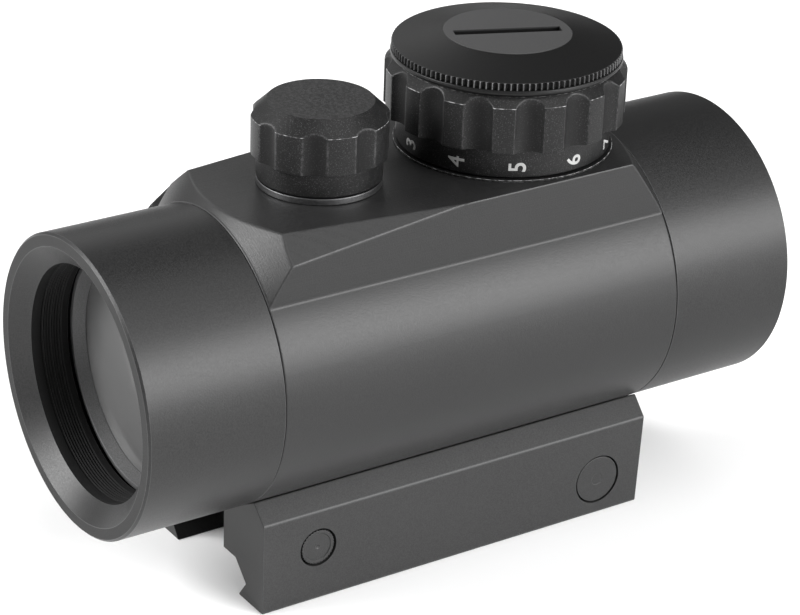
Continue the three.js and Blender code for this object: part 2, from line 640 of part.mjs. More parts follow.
function makeBase() {
  const half = BASE_LENGTH / 2;
  const outline = [
    [SEAT_FAR_EDGE, 0],
    [LEDGE.outer, 0],
    [GROOVE.x, GROOVE.z],
    [LIP_X, JAW_BOTTOM],
    [NEAR_FACE - 0.4, JAW_BOTTOM],
    [NEAR_FACE, JAW_BOTTOM + 0.4],
    [NEAR_FACE, JAW_TOP.faceZ],
    [JAW_TOP.x, JAW_TOP.z],
    ...saddle(JAW_TOP.x - 0.05, SEAT_FAR_EDGE, 10),
  ];
  const bar = barAlongY(outline, -half, half);
  const notches = [-half, half].map((end) => {
    const [y0, y1] = end < 0 ? [end - 1, end + END_NOTCH] : [end - END_NOTCH, end + 1];
    return block([SEAT_FAR_EDGE - 1, y0, -1], [LEDGE.inner, y1, JAW_TOP.z + 5]);
  });
  const headSeat = NEAR_FACE - STUD_HEAD_LENGTH - 0.2;
  const holes = Object.values(STUDS).flatMap(({ y, z, headRadius }) => [
    rod('x', STUD_RADIUS + 0.15, SEAT_FAR_EDGE - 1, NEAR_FACE + 1, SMALL_ROUND, [0, y, z]),
    rod('x', headRadius + RUNNING, headSeat, NEAR_FACE + 1, SMALL_ROUND, [0, y, z]),
  ]);
  const screwHoles = BASE_SCREW_YS.flatMap((y) => [
    rod('z', BASE_SCREW_RADIUS + 0.2, -1, 12, FINE_ROUND, [0, y, 0]),
    rod('z', 3, -1, 3, SMALL_ROUND, [0, y, 0]),
  ]);
  addMesh(part, 'mount_base', cut(bar, ...notches, ...holes, ...screwHoles), MATERIALS.anodised);
}

function makeJaw() {
  const half = BASE_LENGTH / 2;
  const inner = SEAT_FAR_EDGE - CLEARANCE;
  const outline = [
    [inner, 0],
    [-GROOVE.x - JAW_SHIFT, GROOVE.z],
    [-LIP_X - JAW_SHIFT, JAW_BOTTOM],
    [FAR_FACE + 0.8, JAW_BOTTOM],
    [FAR_FACE, JAW_BOTTOM + 0.8],
    [FAR_FACE, JAW_TOP.faceZ],
    [FAR_FACE + 2.4, JAW_TOP.z],
    [inner, 8.2],
  ];
  const holes = Object.values(STUDS).map(({ y, z }) =>
    rod('x', STUD_RADIUS + 0.15, FAR_FACE - 1, inner + 1, SMALL_ROUND, [0, y, z]));
  addMesh(part, 'clamp_jaw', cut(barAlongY(outline, -half, half), ...holes), MATERIALS.anodised);
}

function makeStuds() {
  for (const [name, { y, z, headRadius }] of Object.entries(STUDS)) {
    const face = NEAR_FACE - 0.1;
    const stud = turned('x', [
      [0, STUD_END],
      [STUD_RADIUS - 0.4, STUD_END],
      [STUD_RADIUS, STUD_END + 0.4],
      [STUD_RADIUS, face - STUD_HEAD_LENGTH],
      [headRadius, face - STUD_HEAD_LENGTH],
      [headRadius, face],
      [0, face],
    ], SMALL_ROUND, [0, y, z]);
    addMesh(part, `${name}_stud`, stud, MATERIALS.anodised);

    const nutBack = FAR_FACE - RUNNING;
    const nutEnd = nutBack - NUT.length;
    const nut = sleeve('x', NUT.bore, NUT.radius, nutEnd, nutBack, SMALL_ROUND, [0, y, z]);
    const slot = block([nutEnd - 1, y - 5, z - 0.6], [nutEnd + 1.2, y + 5, z + 0.6]);
    addMesh(part, `${name}_clamp_nut`, cut(nut, slot), MATERIALS.blackened);
  }
}

function makeBaseScrews() {
  BASE_SCREW_YS.forEach((y, i) => {
    const screw = turned('z', [
      [0, 0.5],
      [2.8, 0.5],
      [2.8, 2.9],
      [BASE_SCREW_RADIUS, 2.9],
      [BASE_SCREW_RADIUS, AXIS_HEIGHT - HOUSING_BORE - 0.1],
      [0, AXIS_HEIGHT - HOUSING_BORE - 0.1],
    ], SMALL_ROUND, [0, y, 0]);
    const hexagon = rod('z', 1.45, -1, 1.5, 6, [0, y, 0]);
    addMesh(part, `base_screw_${i + 1}`, cut(screw, hexagon), MATERIALS.steel);
  });
}

makeFrontTube();
makeHousing();
makeRearTube();
makeTubeSeals();
makeInnerTube();
makePivotRing();
makeInnerSpring();
makeLightSource();
makeLead();
makeTurrets();
makeDialGroup();
makeBase();
makeJaw();
makeStuds();
makeBaseScrews();

export default part;
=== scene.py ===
"""Looks of the red dot finder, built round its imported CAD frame.

Shapes are drawn in millimetres and placed in the CAD's own frame, in metres: +Z up, the target side
towards -Y, the dial's near side towards +X.
"""

import json
import math

import bmesh
import bpy
from mathutils import Matrix, Vector


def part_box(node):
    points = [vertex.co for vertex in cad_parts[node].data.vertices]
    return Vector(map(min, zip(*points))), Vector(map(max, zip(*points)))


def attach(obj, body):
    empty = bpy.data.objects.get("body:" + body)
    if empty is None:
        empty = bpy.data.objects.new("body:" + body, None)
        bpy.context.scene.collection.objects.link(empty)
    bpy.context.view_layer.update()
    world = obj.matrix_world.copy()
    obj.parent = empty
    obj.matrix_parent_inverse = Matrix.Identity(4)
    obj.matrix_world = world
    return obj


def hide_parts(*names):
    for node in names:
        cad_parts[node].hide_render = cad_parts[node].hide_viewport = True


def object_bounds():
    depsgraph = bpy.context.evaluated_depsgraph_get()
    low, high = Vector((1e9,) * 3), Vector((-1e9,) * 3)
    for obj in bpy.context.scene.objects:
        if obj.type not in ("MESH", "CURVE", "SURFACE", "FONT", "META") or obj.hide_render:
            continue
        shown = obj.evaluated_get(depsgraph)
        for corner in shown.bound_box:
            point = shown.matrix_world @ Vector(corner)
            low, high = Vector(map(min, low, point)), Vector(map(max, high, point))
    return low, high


MM = 0.001
TURN = 2 * math.pi
TINY = 1e-6
X, Y, Z = 0, 1, 2
TOWARDS_FAR = -1  # the direction of -X, where the windage turret points

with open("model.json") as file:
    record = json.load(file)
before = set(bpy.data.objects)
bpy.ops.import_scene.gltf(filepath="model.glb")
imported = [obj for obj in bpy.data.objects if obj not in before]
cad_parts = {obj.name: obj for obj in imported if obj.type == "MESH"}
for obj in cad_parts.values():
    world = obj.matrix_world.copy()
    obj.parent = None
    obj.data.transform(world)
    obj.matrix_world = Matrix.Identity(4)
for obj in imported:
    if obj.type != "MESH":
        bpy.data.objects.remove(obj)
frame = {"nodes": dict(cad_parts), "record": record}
cad_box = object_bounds()


# Measures read from the frame ---------------------------------------------------------------------


def span(node, axis):
    """Lowest and highest coordinate of a CAD node along one axis."""
    low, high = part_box(node)
    return low[axis] / MM, high[axis] / MM


def middle(node, axis):
    """The middle of a CAD node along one axis."""
    return sum(span(node, axis)) / 2


AXIS_Z = middle("front_tube", Z)
TUBE_RADIUS = (span("front_tube", X)[1] - span("front_tube", X)[0]) / 2
FRONT_FACE = span("front_tube", Y)[0]
REAR_FACE = span("rear_tube", Y)[1]
FRONT_SEAM, REAR_SEAM = span("main_housing", Y)
TOP_FLAT = span("main_housing", Z)[1] - AXIS_Z
WINDAGE_FLAT = -span("main_housing", X)[0]
ELEVATION_Y = middle("elevation_collar", Y)
DIAL_Y = middle("brightness_dial", Y)
BASE_FRONT, BASE_REAR = span("mount_base", Y)
NEAR_FACE = span("mount_base", X)[1]
FAR_FACE = span("clamp_jaw", X)[0]
JAW_BOTTOM = span("mount_base", Z)[0]

# Dimensions that the pieces share with the CAD solids, or that only show in the look --------------

APERTURE_RADIUS = 15.25
BEZEL_RADIUS = 17.75
HOUSING_BORE = 17.9
SPIGOT_RADIUS = 17.6
SPIGOT_BORE = 16.7
SPIGOT_LENGTH = 6
SEAM_GAP = 0.09
NEAR_FLAT = 15  # half width of the housing's block on the near side
FAR_FLAT = 14.2
CONE_SLOPE = 1.08  # how fast the block's turned ends widen
WEDGE_LENGTH = 22.7  # the tapering facet on each upper front corner
WEDGE_WIDTH = 3
WEDGE_DROP = 2.7
STUDS = {"front": (-21.5, 2.6, 2.45), "rear": (22.9, 0.2, 3.3)}  # y, z, head radius
STUD_HOLE = 2.0
SCREW_YS = (-9, 11)

# Placing ------------------------------------------------------------------------------------------


def place(x, y, z, axis=Z):
    """Takes a shape drawn in millimetres along its own z to a place and direction in the frame."""
    turn = {
        Z: Matrix.Identity(4),
        Y: Matrix.Rotation(-math.pi / 2, 4, "X"),
        TOWARDS_FAR: Matrix.Rotation(-math.pi / 2, 4, "Y"),
        X: Matrix.Rotation(math.pi / 2, 4, "Y"),
    }[axis]
    return Matrix.Translation(Vector((x, y, z)) * MM) @ turn @ Matrix.Scale(MM, 4)


ON_AXIS = place(0, 0, AXIS_Z, Y)
ON_ELEVATION = place(0, ELEVATION_Y, AXIS_Z + TOP_FLAT)
ON_WINDAGE = place(-WINDAGE_FLAT, ELEVATION_Y, AXIS_Z, TOWARDS_FAR)
ON_DIAL = place(0, DIAL_Y, AXIS_Z + TOP_FLAT)
AS_DRAWN = place(0, 0, 0)

# Meshes -------------------------------------------------------------------------------------------


def make_object(name, points, faces, wear_and_painted_light, matrix):
    """A smooth mesh with an amount on each point: positive for rubbed edges and painted highlights,
    negative for painted shade.
    """
    mesh = bpy.data.meshes.new(name)
    mesh.from_pydata([matrix @ Vector(p) for p in points], [], faces)
    mesh.attributes.new("wear_and_painted_light", "FLOAT", "POINT").data.foreach_set("value", wear_and_painted_light)
    body = bmesh.new()
    body.from_mesh(mesh)
    bmesh.ops.remove_doubles(body, verts=body.verts, dist=1e-7)
    bmesh.ops.recalc_face_normals(body, faces=body.faces)
    for face in body.faces:
        face.smooth = True
    body.to_mesh(mesh)
    body.free()
    obj = bpy.data.objects.new(name, mesh)
    bpy.context.scene.collection.objects.link(obj)
    return obj


FILLET = 0.12
FILLET_STEPS = 4


def rounded(profile, fillet=FILLET, closed=True):
    """A profile with rounded corners, as (radius, height, wear and painted light); that amount is 1 on
    outward roundings, which lightens them as rubbed wear and as painted highlight.

    A point may carry its own rounding as a third number. Points on the axis stay sharp.
    """
    count = len(profile)
    area = sum(
        profile[i][0] * profile[(i + 1) % count][1] - profile[(i + 1) % count][0] * profile[i][1]
        for i in range(count)
    )
    out = []
    for i, point in enumerate(profile):
        here = Vector(point[:2])
        size = point[2] if len(point) > 2 else fillet
        before = Vector(profile[i - 1][:2]) - here
        after = Vector(profile[(i + 1) % count][:2]) - here
        at_end = not closed and i in (0, count - 1)
        sharp = at_end or here.x < TINY or size <= 0 or before.length < TINY or after.length < TINY
        bend = 0.0 if sharp else math.pi - before.angle(after)
        if bend < 0.05:
            out.append((here.x, here.y, 0.0))
            continue
        tangent = min(size * math.tan(bend / 2), 0.4 * before.length, 0.4 * after.length)
        start = here + before.normalized() * tangent
        end = here + after.normalized() * tangent
        turning = before.x * after.y - before.y * after.x
        edge = 1.0 if turning * area < 0 else 0.0
        lead_in = here + before.normalized() * tangent * 1.2
        lead_out = here + after.normalized() * tangent * 1.2
        out.append((lead_in.x, lead_in.y, 0.0))
        for step in range(FILLET_STEPS + 1):
            t = step / FILLET_STEPS
            p = start * (1 - t) ** 2 + here * 2 * t * (1 - t) + end * t * t
            out.append((p.x, p.y, edge * (1 if 0 < step < FILLET_STEPS else 0.5)))
        out.append((lead_out.x, lead_out.y, 0.0))
    return out


def densely(profile, spacing):
    """The same closed profile with points on its sloping parts no further apart than `spacing`."""
    out = []
    for (r0, h0, w0), (r1, h1, w1) in zip(profile, profile[1:] + profile[:1]):
        slopes = abs(r1 - r0) > TINY and abs(h1 - h0) > TINY
        parts = math.ceil(math.hypot(r1 - r0, h1 - h0) / spacing) if slopes else 1
        for k in range(parts):
            t = k / parts
            out.append((r0 + (r1 - r0) * t, h0 + (h1 - h0) * t, w0 + (w1 - w0) * t))
    return out


def even_angles(count):
    """Angles evenly spaced round a full turn."""
    return [TURN * i / count for i in range(count)]


def lathe(name, profile, matrix, angles=None, reach=None):
    """Turns a (radius, height, wear and painted light) profile about z. A profile off the axis is taken as
    closed.

    `reach` may change a point: it takes angle, radius and height and gives radius and an amount of wear
    and painted light, negative for painted shade.
    """
    angles = angles or even_angles(192)
    rows = len(profile)
    on_axis = profile[0][0] < TINY and profile[-1][0] < TINY
    points, wear_and_painted_light = [], []
    for angle in angles:
        cos, sin = math.cos(angle), math.sin(angle)
        for radius, height, edge in profile:
            if reach:
                radius, cut_wear_and_shade = reach(angle, radius, height)
                edge = max(edge, cut_wear_and_shade) if cut_wear_and_shade >= 0 else cut_wear_and_shade
            points.append((radius * cos, radius * sin, height))
            wear_and_painted_light.append(edge)
    faces = []
    for i in range(len(angles)):
        j = (i + 1) % len(angles)
        for k in range(rows - 1 if on_axis else rows):
            m = (k + 1) % rows
            faces.append((i * rows + k, j * rows + k, j * rows + m, i * rows + m))
    return make_object(name, points, faces, wear_and_painted_light, matrix)


def soft_min(values, blend):
    """The smallest value, rounded where the two smallest meet, and how close they are (0 to 1)."""
    first, second = sorted(values)[:2]
    near = max(blend - (second - first), 0) / blend
    return first - near * near * blend / 4, near


def fluted(count, first, cutter, depth, grip, bottom, blend=0.14):
    """A reach for `lathe` that cuts upright flutes into a knob above `bottom`, with painted shade
    deepening inside each flute and rubbed wear at its edges.
    """
    step = TURN / count
    distance = grip + cutter - depth

    def reach(angle, radius, height):
        offset = abs((angle - first + step / 2) % step - step / 2)
        side = distance * math.sin(offset)
        if height < bottom or side >= cutter:
            return radius, 0.0
        cut = distance * math.cos(offset) - math.sqrt(cutter * cutter - side * side)
        cut_radius, near = soft_min((radius, cut), blend)
        # Inside a flute the colour is painted shade, darker with depth.
        return cut_radius, 0.15 * near if near else -0.6 * max(radius - cut, 0) / depth

    return reach


AROUND_EDGE = (-0.4, -0.28, -0.18, -0.1, -0.04, 0.04, 0.12, 0.25, 0.45)  # mm from a flute's edge


def flute_angles(count, first, cutter, depth, grip):
    """Angles round a fluted knob, closest together at the flutes' edges."""
    step = TURN / count
    distance = grip + cutter - depth
    edge = math.acos((grip * grip + distance * distance - cutter * cutter) / (2 * grip * distance))
    near_edge = [edge + offset / grip for offset in AROUND_EDGE]
    inside = [near_edge[0] * i / 6 for i in range(1, 6)]
    land = [near_edge[-1] + (step / 2 - near_edge[-1]) * i / 4 for i in range(1, 4)]
    half = inside + near_edge + land
    one = [-a for a in reversed(half)] + [0.0] + half + [step / 2]
    return [first + i * step + a for i in range(count) for a in one]


BAR_FILLET = 0.25
END_ROUND = 0.12


def bar(name, outline, start, end, lean=0.0):
    """An outline of (x, z) points, counter-clockwise, pushed along Y, with all its edges rounded.

    `lean` moves the far end outward at the outline's top, by that much against its bottom.
    """
    lowest = min(z for _, z, *_ in outline)
    height = max(z for _, z, *_ in outline) - lowest
    loop = rounded(outline, BAR_FILLET)
    count = len(loop)
    normals = []
    for i in range(count):
        (x0, z0, _), (x1, z1, _) = loop[i - 1], loop[(i + 1) % count]
        along = Vector((x1 - x0, z1 - z0)).normalized()
        normals.append(Vector((along.y, -along.x)))
    stations = [(0.0, END_ROUND * 1.2, 0.0)]
    for step in range(FILLET_STEPS + 1):
        angle = math.pi / 2 * step / FILLET_STEPS
        inset = END_ROUND * (1 - math.sin(angle))
        depth = END_ROUND * (1 - math.cos(angle))
        # End roundings are lightened: partly rubbed wear, partly painted highlight.
        stations.append((depth, inset, 1.0 if 0 < step < FILLET_STEPS else 0.4))
    stations.append((END_ROUND * 1.3, 0.0, 0.0))
    rings = [(start + d, inset, w) for d, inset, w in stations]
    rings += [(end - d, inset, w) for d, inset, w in reversed(stations)]
    points, wear_and_painted_light = [], []
    for y, inset, end_wear in rings:
        for (x, z, edge), normal in zip(loop, normals):
            shift = lean * (z - lowest) / height if y > start + END_ROUND * 2 else 0.0
            points.append((x - normal.x * inset, y + shift, z - normal.y * inset))
            wear_and_painted_light.append(0.0 if inset > END_ROUND else max(edge, end_wear))
    faces = []
    for k in range(len(rings) - 1):
        for i in range(count):
            j = (i + 1) % count
            faces.append((k * count + i, k * count + j, (k + 1) * count + j, (k + 1) * count + i))
    faces.append(tuple(reversed(range(count))))
    faces.append(tuple((len(rings) - 1) * count + i for i in range(count)))
    return make_object(name, points, faces, wear_and_painted_light, AS_DRAWN)


def combine(obj, operation, *others):
    """Cuts other objects from one, or joins them to it, and removes them."""
    for other in others:
        step = obj.modifiers.new("shape", "BOOLEAN")
        step.operation = operation
        step.solver = "EXACT"
        step.object = other
        shaped = bpy.data.meshes.new_from_object(obj.evaluated_get(bpy.context.evaluated_depsgraph_get()))
        obj.modifiers.clear()
        obj.data = shaped
        bpy.data.objects.remove(other)


def drum(radius, low, high, matrix, segments=96):
    """A plain round tool for cutting or joining."""
    profile = [(0, low, 0.0), (radius, low, 0.0), (radius, high, 0.0), (0, high, 0.0)]
    return lathe("tool", profile, matrix, even_angles(segments))


def slab(size, low, high, matrix, turn=0.0):
    """A plain rectangular tool, `size` along and across, between two heights."""
    half_u, half_v = size[0] / 2, size[1] / 2
    corners = [(-half_u, -half_v), (half_u, -half_v), (half_u, half_v), (-half_u, half_v)]
    cos, sin = math.cos(turn), math.sin(turn)
    ring = [(u * cos - v * sin, u * sin + v * cos) for u, v in corners]
    points = [(u, v, h) for h in (low, high) for u, v in ring]
    faces = [(0, 1, 2, 3), (4, 5, 6, 7), (0, 1, 5, 4), (1, 2, 6, 5), (2, 3, 7, 6), (3, 0, 4, 7)]
    return make_object("tool", points, faces, [0.0] * 8, matrix)


def sharpen(obj, angle=35):
    """Shades edges steeper than `angle` as edges."""
    obj.data.set_sharp_from_angle(angle=math.radians(angle))
    return obj


def finish(obj, material, body, slot, *nodes):
    """Gives a piece its material and body, and hides the CAD nodes it stands for. `slot` is not used."""
    obj.data.materials.clear()
    obj.data.materials.append(material)
    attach(obj, body)
    if nodes:
        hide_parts(*nodes)


# Materials ----------------------------------------------------------------------------------------


class Graph:
    """Shorthand for building one material's nodes."""

    def __init__(self, name):
        self.material = bpy.data.materials.new(name)
        self.material.use_nodes = True
        self.tree = self.material.node_tree
        self.shader = self.tree.nodes["Principled BSDF"]
        self.place = self.add("ShaderNodeTexCoord").outputs["Object"]

    def add(self, kind, **settings):
        """A new node with its settings."""
        node = self.tree.nodes.new(kind)
        for key, value in settings.items():
            setattr(node, key, value)
        return node

    def link(self, source, target):
        """Feeds one socket from another."""
        self.tree.links.new(source, target)

    def noise(self, size_mm, detail=2.0, source=None):
        """Noise whose cells are about `size_mm` across."""
        node = self.add("ShaderNodeTexNoise")
        node.inputs["Scale"].default_value = 1 / (size_mm * MM)
        node.inputs["Detail"].default_value = detail
        self.link(source or self.place, node.inputs["Vector"])
        return node.outputs["Fac"]

    def ramp(self, value, low, high, to_low=0.0, to_high=1.0):
        """A value taken from one range to another, clamped."""
        node = self.add("ShaderNodeMapRange")
        for key, number in zip(("From Min", "From Max", "To Min", "To Max"), (low, high, to_low, to_high)):
            node.inputs[key].default_value = number
        self.link(value, node.inputs["Value"])
        return node.outputs["Result"]

    def maths(self, a, b, operation="MULTIPLY"):
        """Two numbers or sockets put together by one operation."""
        node = self.add("ShaderNodeMath", operation=operation)
        for socket, value in zip(node.inputs, (a, b)):
            if isinstance(value, (int, float)):
                socket.default_value = value
            else:
                self.link(value, socket)
        return node.outputs["Value"]

    def mix(self, factor, a, b):
        """Colour `b` over colour `a`."""
        node = self.add("ShaderNodeMix", data_type="RGBA")
        self.link(factor, node.inputs["Factor"])
        for key, value in (("A", a), ("B", b)):
            socket = [s for s in node.inputs if s.name == key and s.type == "RGBA"][0]
            if isinstance(value, tuple):
                socket.default_value = (*value, 1)
            else:
                self.link(value, socket)
        return [s for s in node.outputs if s.type == "RGBA"][0]

    def bump(self, height, strength, distance_mm, below=None):
        """A normal tilted by a height, on top of another normal if one is given."""
        node = self.add("ShaderNodeBump")
        node.inputs["Strength"].default_value = strength
        node.inputs["Distance"].default_value = distance_mm * MM
        self.link(height, node.inputs["Height"])
        if below:
            self.link(below, node.inputs["Normal"])
        return node.outputs["Normal"]

    def worn(self):
        """The per-point amount of rubbed wear, painted highlight and painted shade that the meshes carry.
        """
        return self.add("ShaderNodeAttribute", attribute_name="wear_and_painted_light").outputs["Fac"]

    def set(self, **values):
        """Sets uniform values on the shader's own sockets."""
        for key, value in values.items():
            self.shader.inputs[key.replace("_", " ")].default_value = value


def grey(value):
    """A barely cool grey."""
    return (value, value, value * 1.01)


RUBBED_AND_HIGHLIGHT_GREY = grey(0.3)
GLINT_GREY = grey(0.2)
PAINTED_SHADE_BLACK = grey(0.002)


def anodised(name, base, roughness, grain=0.12, worn=0.5, chips=True, painted_glints=0.0, marks=0.0, shine=0.5):
    """Dark anodised aluminium: fine blasted grain with painted glint specks, slight blotches, and edges
    lighter, partly rubbed wear and partly painted highlight.

    Points with a negative amount get painted shade, dull black. `marks` is how strongly turning marks
    round the tube's axis show.
    """
    g = Graph(name)
    fine = g.noise(grain, 3)
    coarse = g.noise(9.0, 3)
    color = g.mix(g.ramp(coarse, 0.3, 0.7), grey(base * 0.9), grey(base * 1.1))
    color = g.mix(g.ramp(fine, 0.35, 0.65), color, grey(base * 1.9))
    # Light specks on the blasted grain are painted glints.
    if painted_glints:
        glint_mask = g.ramp(g.noise(0.13, 1), 0.6, 0.72, 0, painted_glints)
        color = g.mix(glint_mask, color, GLINT_GREY)
    wear_and_painted_light = g.worn()
    patches = g.ramp(g.noise(0.5, 4), 0.45, 0.58, 0.1 * worn, worn) if chips else worn
    # Positive amounts lighten: rubbed wear on edges, painted highlight on smooth edges and on cap and
    # cover tops.
    color = g.mix(g.maths(g.ramp(wear_and_painted_light, 0, 1), patches), color, RUBBED_AND_HIGHLIGHT_GREY)
    normal = g.bump(fine, 0.6, 0.02)
    if marks:
        split = g.add("ShaderNodeSeparateXYZ")
        g.link(g.place, split.inputs[0])
        up = g.maths(split.outputs["Z"], AXIS_Z * MM, "SUBTRACT")
        square = g.maths(g.maths(split.outputs["X"], split.outputs["X"]), g.maths(up, up), "ADD")
        line = g.add("ShaderNodeCombineXYZ")
        g.link(g.maths(square, 0.5, "POWER"), line.inputs["X"])
        turned = g.noise(0.12, 3, line.outputs[0])
        color = g.mix(g.ramp(turned, 0.35, 0.65, 0, marks), color, grey(base * 2))
        normal = g.bump(turned, 0.8 * marks, 0.02, normal)
    # Negative amounts are painted shade: dull black in flutes, slots, under the dial's grip and in bores.
    painted_shade = g.ramp(wear_and_painted_light, 0, -1)
    color = g.mix(painted_shade, color, PAINTED_SHADE_BLACK)
    g.link(color, g.shader.inputs["Base Color"])
    rough = g.ramp(fine, 0.3, 0.7, roughness - 0.05, roughness + 0.06)
    g.link(g.maths(rough, g.maths(painted_shade, 0.4), "ADD"), g.shader.inputs["Roughness"])
    g.link(normal, g.shader.inputs["Normal"])
    g.set(Metallic=0.0, IOR=1.5, Specular_IOR_Level=shine)
    return g.material


def metal(name, color, roughness):
    """Bare metal with fine turning marks."""
    g = Graph(name)
    fine = g.noise(0.25, 3)
    dark = tuple(c * 0.8 for c in color)
    g.link(g.mix(g.ramp(fine, 0.3, 0.7), dark, color), g.shader.inputs["Base Color"])
    g.link(g.ramp(fine, 0.3, 0.7, roughness - 0.06, roughness + 0.06), g.shader.inputs["Roughness"])
    g.link(g.bump(fine, 0.06, 0.01), g.shader.inputs["Normal"])
    g.set(Metallic=1.0)
    return g.material


def plastic(name, color, roughness):
    """Rubber, board or paint: one colour with a fine uneven surface."""
    g = Graph(name)
    fine = g.noise(0.3, 3)
    light = tuple(min(1.0, c * 1.15) for c in color)
    g.link(g.mix(g.ramp(fine, 0.3, 0.7), color, light), g.shader.inputs["Base Color"])
    g.link(g.ramp(fine, 0.3, 0.7, roughness - 0.05, roughness + 0.05), g.shader.inputs["Roughness"])
    g.link(g.bump(fine, 0.15, 0.02), g.shader.inputs["Normal"])
    return g.material


def coated_glass(name, tint, alpha):
    """Coated lens glass, slightly uneven from dust."""
    g = Graph(name)
    dust = g.noise(6, 4)
    light = tuple(c * 1.06 for c in tint)
    g.link(g.mix(g.ramp(dust, 0.4, 0.7), tint, light), g.shader.inputs["Base Color"])
    g.link(g.ramp(dust, 0.3, 0.7, 0.12, 0.2), g.shader.inputs["Roughness"])
    g.set(IOR=1.52, Alpha=alpha, Specular_IOR_Level=0.35)
    return g.material


# On tube, housing and jaw the lighter edges are a thin painted highlight as much as rubbed wear.
TUBE = anodised("tube_anodised", 0.01, 0.4, grain=0.2, worn=0.12, chips=False, shine=0.32)
HOUSING = anodised("housing_anodised", 0.01, 0.4, grain=0.2, worn=0.1, chips=False, marks=0.7, shine=0.32)
JAW = anodised("jaw_anodised", 0.016, 0.45, grain=0.15, worn=0.06, chips=False, shine=0.34)
KNOB = anodised("knob_anodised", 0.005, 0.42, grain=0.16, worn=0.9, painted_glints=0.22, shine=0.22)
COVER = anodised("cover_anodised", 0.004, 0.38, grain=0.08, worn=0.45, chips=False, shine=0.22)
BLACKENED = anodised("blackened", 0.01, 0.6, worn=0.1)
CELL = anodised("cell_ring_grey", 0.057, 0.45, worn=0.1, chips=False)
COLLAR = metal("collar_steel", (0.13, 0.13, 0.132), 0.45)
STEEL = metal("steel", (0.42, 0.42, 0.43), 0.3)
BRASS = metal("brass", (0.6, 0.45, 0.2), 0.35)
RUBBER = plastic("rubber", (0.02, 0.02, 0.02), 0.75)
BOARD = plastic("circuit_board", (0.02, 0.12, 0.05), 0.5)
LAMP = plastic("lamp_red", (0.6, 0.02, 0.01), 0.25)
PAINT = plastic("digit_paint", (0.33, 0.33, 0.325), 0.6)
LENS_GLASS = coated_glass("lens_glass", (0.095, 0.095, 0.095), 0.97)
WINDOW_GLASS = coated_glass("window_glass", (0.06, 0.06, 0.062), 0.9)

SLOT_MATERIALS = {
    "anodised": TUBE,
    "knob": KNOB,
    "blackened": BLACKENED,
    "glass": LENS_GLASS,
    "steel": STEEL,
    "brass": BRASS,
    "rubber": RUBBER,
    "board": BOARD,
    "lamp": LAMP,
}

# Outer tubes --------------------------------------------------------------------------------------

BORE_START = 2.0  # depth of the bevel at a tube's open end
THREAD_START = 3.3
THREAD_END = 6.3
THREAD_PITCH = 0.4
THREAD_DEPTH = 0.12
THREAD_FILLET = 0.03


def thread(radius, start, end, pitch, depth):
    """Grooves seen as a thread: points from `start` to `end` at `radius`, going `depth` further out."""
    count = round(abs(end - start) / pitch)
    step = (end - start) / count
    points = []
    for i in range(count):
        points.append((radius, start + step * i, THREAD_FILLET))
        points.append((radius + depth, start + step * (i + 0.5), THREAD_FILLET))
    points.append((radius, end, THREAD_FILLET))
    return points


def blacken(profile):
    """Paints a tube's bore dull black, partly its own matte black and partly painted shade, and paints
    shade on the end face in front of it.

    Every third crest of the thread keeps its lighter edge, partly rubbed wear and partly painted
    highlight.
    """
    out = []
    for radius, depth, wear_and_painted_light in profile:
        crest = wear_and_painted_light > 0.5 and round((depth - THREAD_START) / THREAD_PITCH) % 3 == 1
        if radius < SPIGOT_BORE + 0.05 and depth > BORE_START + 0.05 and not crest:
            wear_and_painted_light = -1.0
        elif depth < 0.001 and wear_and_painted_light == 0:
            wear_and_painted_light = -0.5
        out.append((radius, depth, wear_and_painted_light))
    return out


def make_tube(name, face, towards, length, inside):
    """An outer tube drawn from its open end, with `towards` the sign of Y towards the housing."""
    seam = length - SEAM_GAP
    outline = [
        (BEZEL_RADIUS, 0, 0.1),
        (TUBE_RADIUS - 0.3, 0, 0.08),
        (TUBE_RADIUS, 0.3, 0.08),
        (TUBE_RADIUS, seam, 0.1),
        (SPIGOT_RADIUS, seam, 0.05),
        (SPIGOT_RADIUS, length + SPIGOT_LENGTH),
        (SPIGOT_BORE, length + SPIGOT_LENGTH),
        *inside,
        *thread(APERTURE_RADIUS, THREAD_END, THREAD_START, THREAD_PITCH, THREAD_DEPTH),
        (APERTURE_RADIUS, BORE_START, 0.08),
    ]
    profile = [(r, face + towards * depth, w) for r, depth, w in blacken(rounded(outline))]
    tube = lathe(f"{name}_shell", profile, ON_AXIS, even_angles(256))
    finish(tube, TUBE, "housing", "anodised", name)


def make_tubes():
    """The front and rear tubes, with a seat for the inner tube and one for the window."""
    step = [(SPIGOT_BORE, 7.2), (APERTURE_RADIUS, 7.2)]
    make_tube("front_tube", FRONT_FACE, 1, FRONT_SEAM - FRONT_FACE, step)
    window_seat = [(SPIGOT_BORE, 14), (16.2, 14), (16.2, 8.6), (APERTURE_RADIUS, 8.6)]
    make_tube("rear_tube", REAR_FACE, -1, REAR_FACE - REAR_SEAM, window_seat)


# Housing ------------------------------------------------------------------------------------------

EDGE_BLEND = 0.2
HOUSING_EDGE = 0.12  # rounding at the seams
TURNED_ENDS = 6.6  # length at each end where the block's cones need close points
BOSS_RADIUS = 9.4  # round the windage seat
BOSS_DEPTH = 6.2

# Start and spacing of the points round the housing, in degrees: closest where its facets meet.
HOUSING_DEGREES = [
    (-180, 2.5), (15, 0.4), (36, 0.2), (64, 0.4), (116, 0.2), (144, 0.4), (165, 2.5), (180, 1),
]


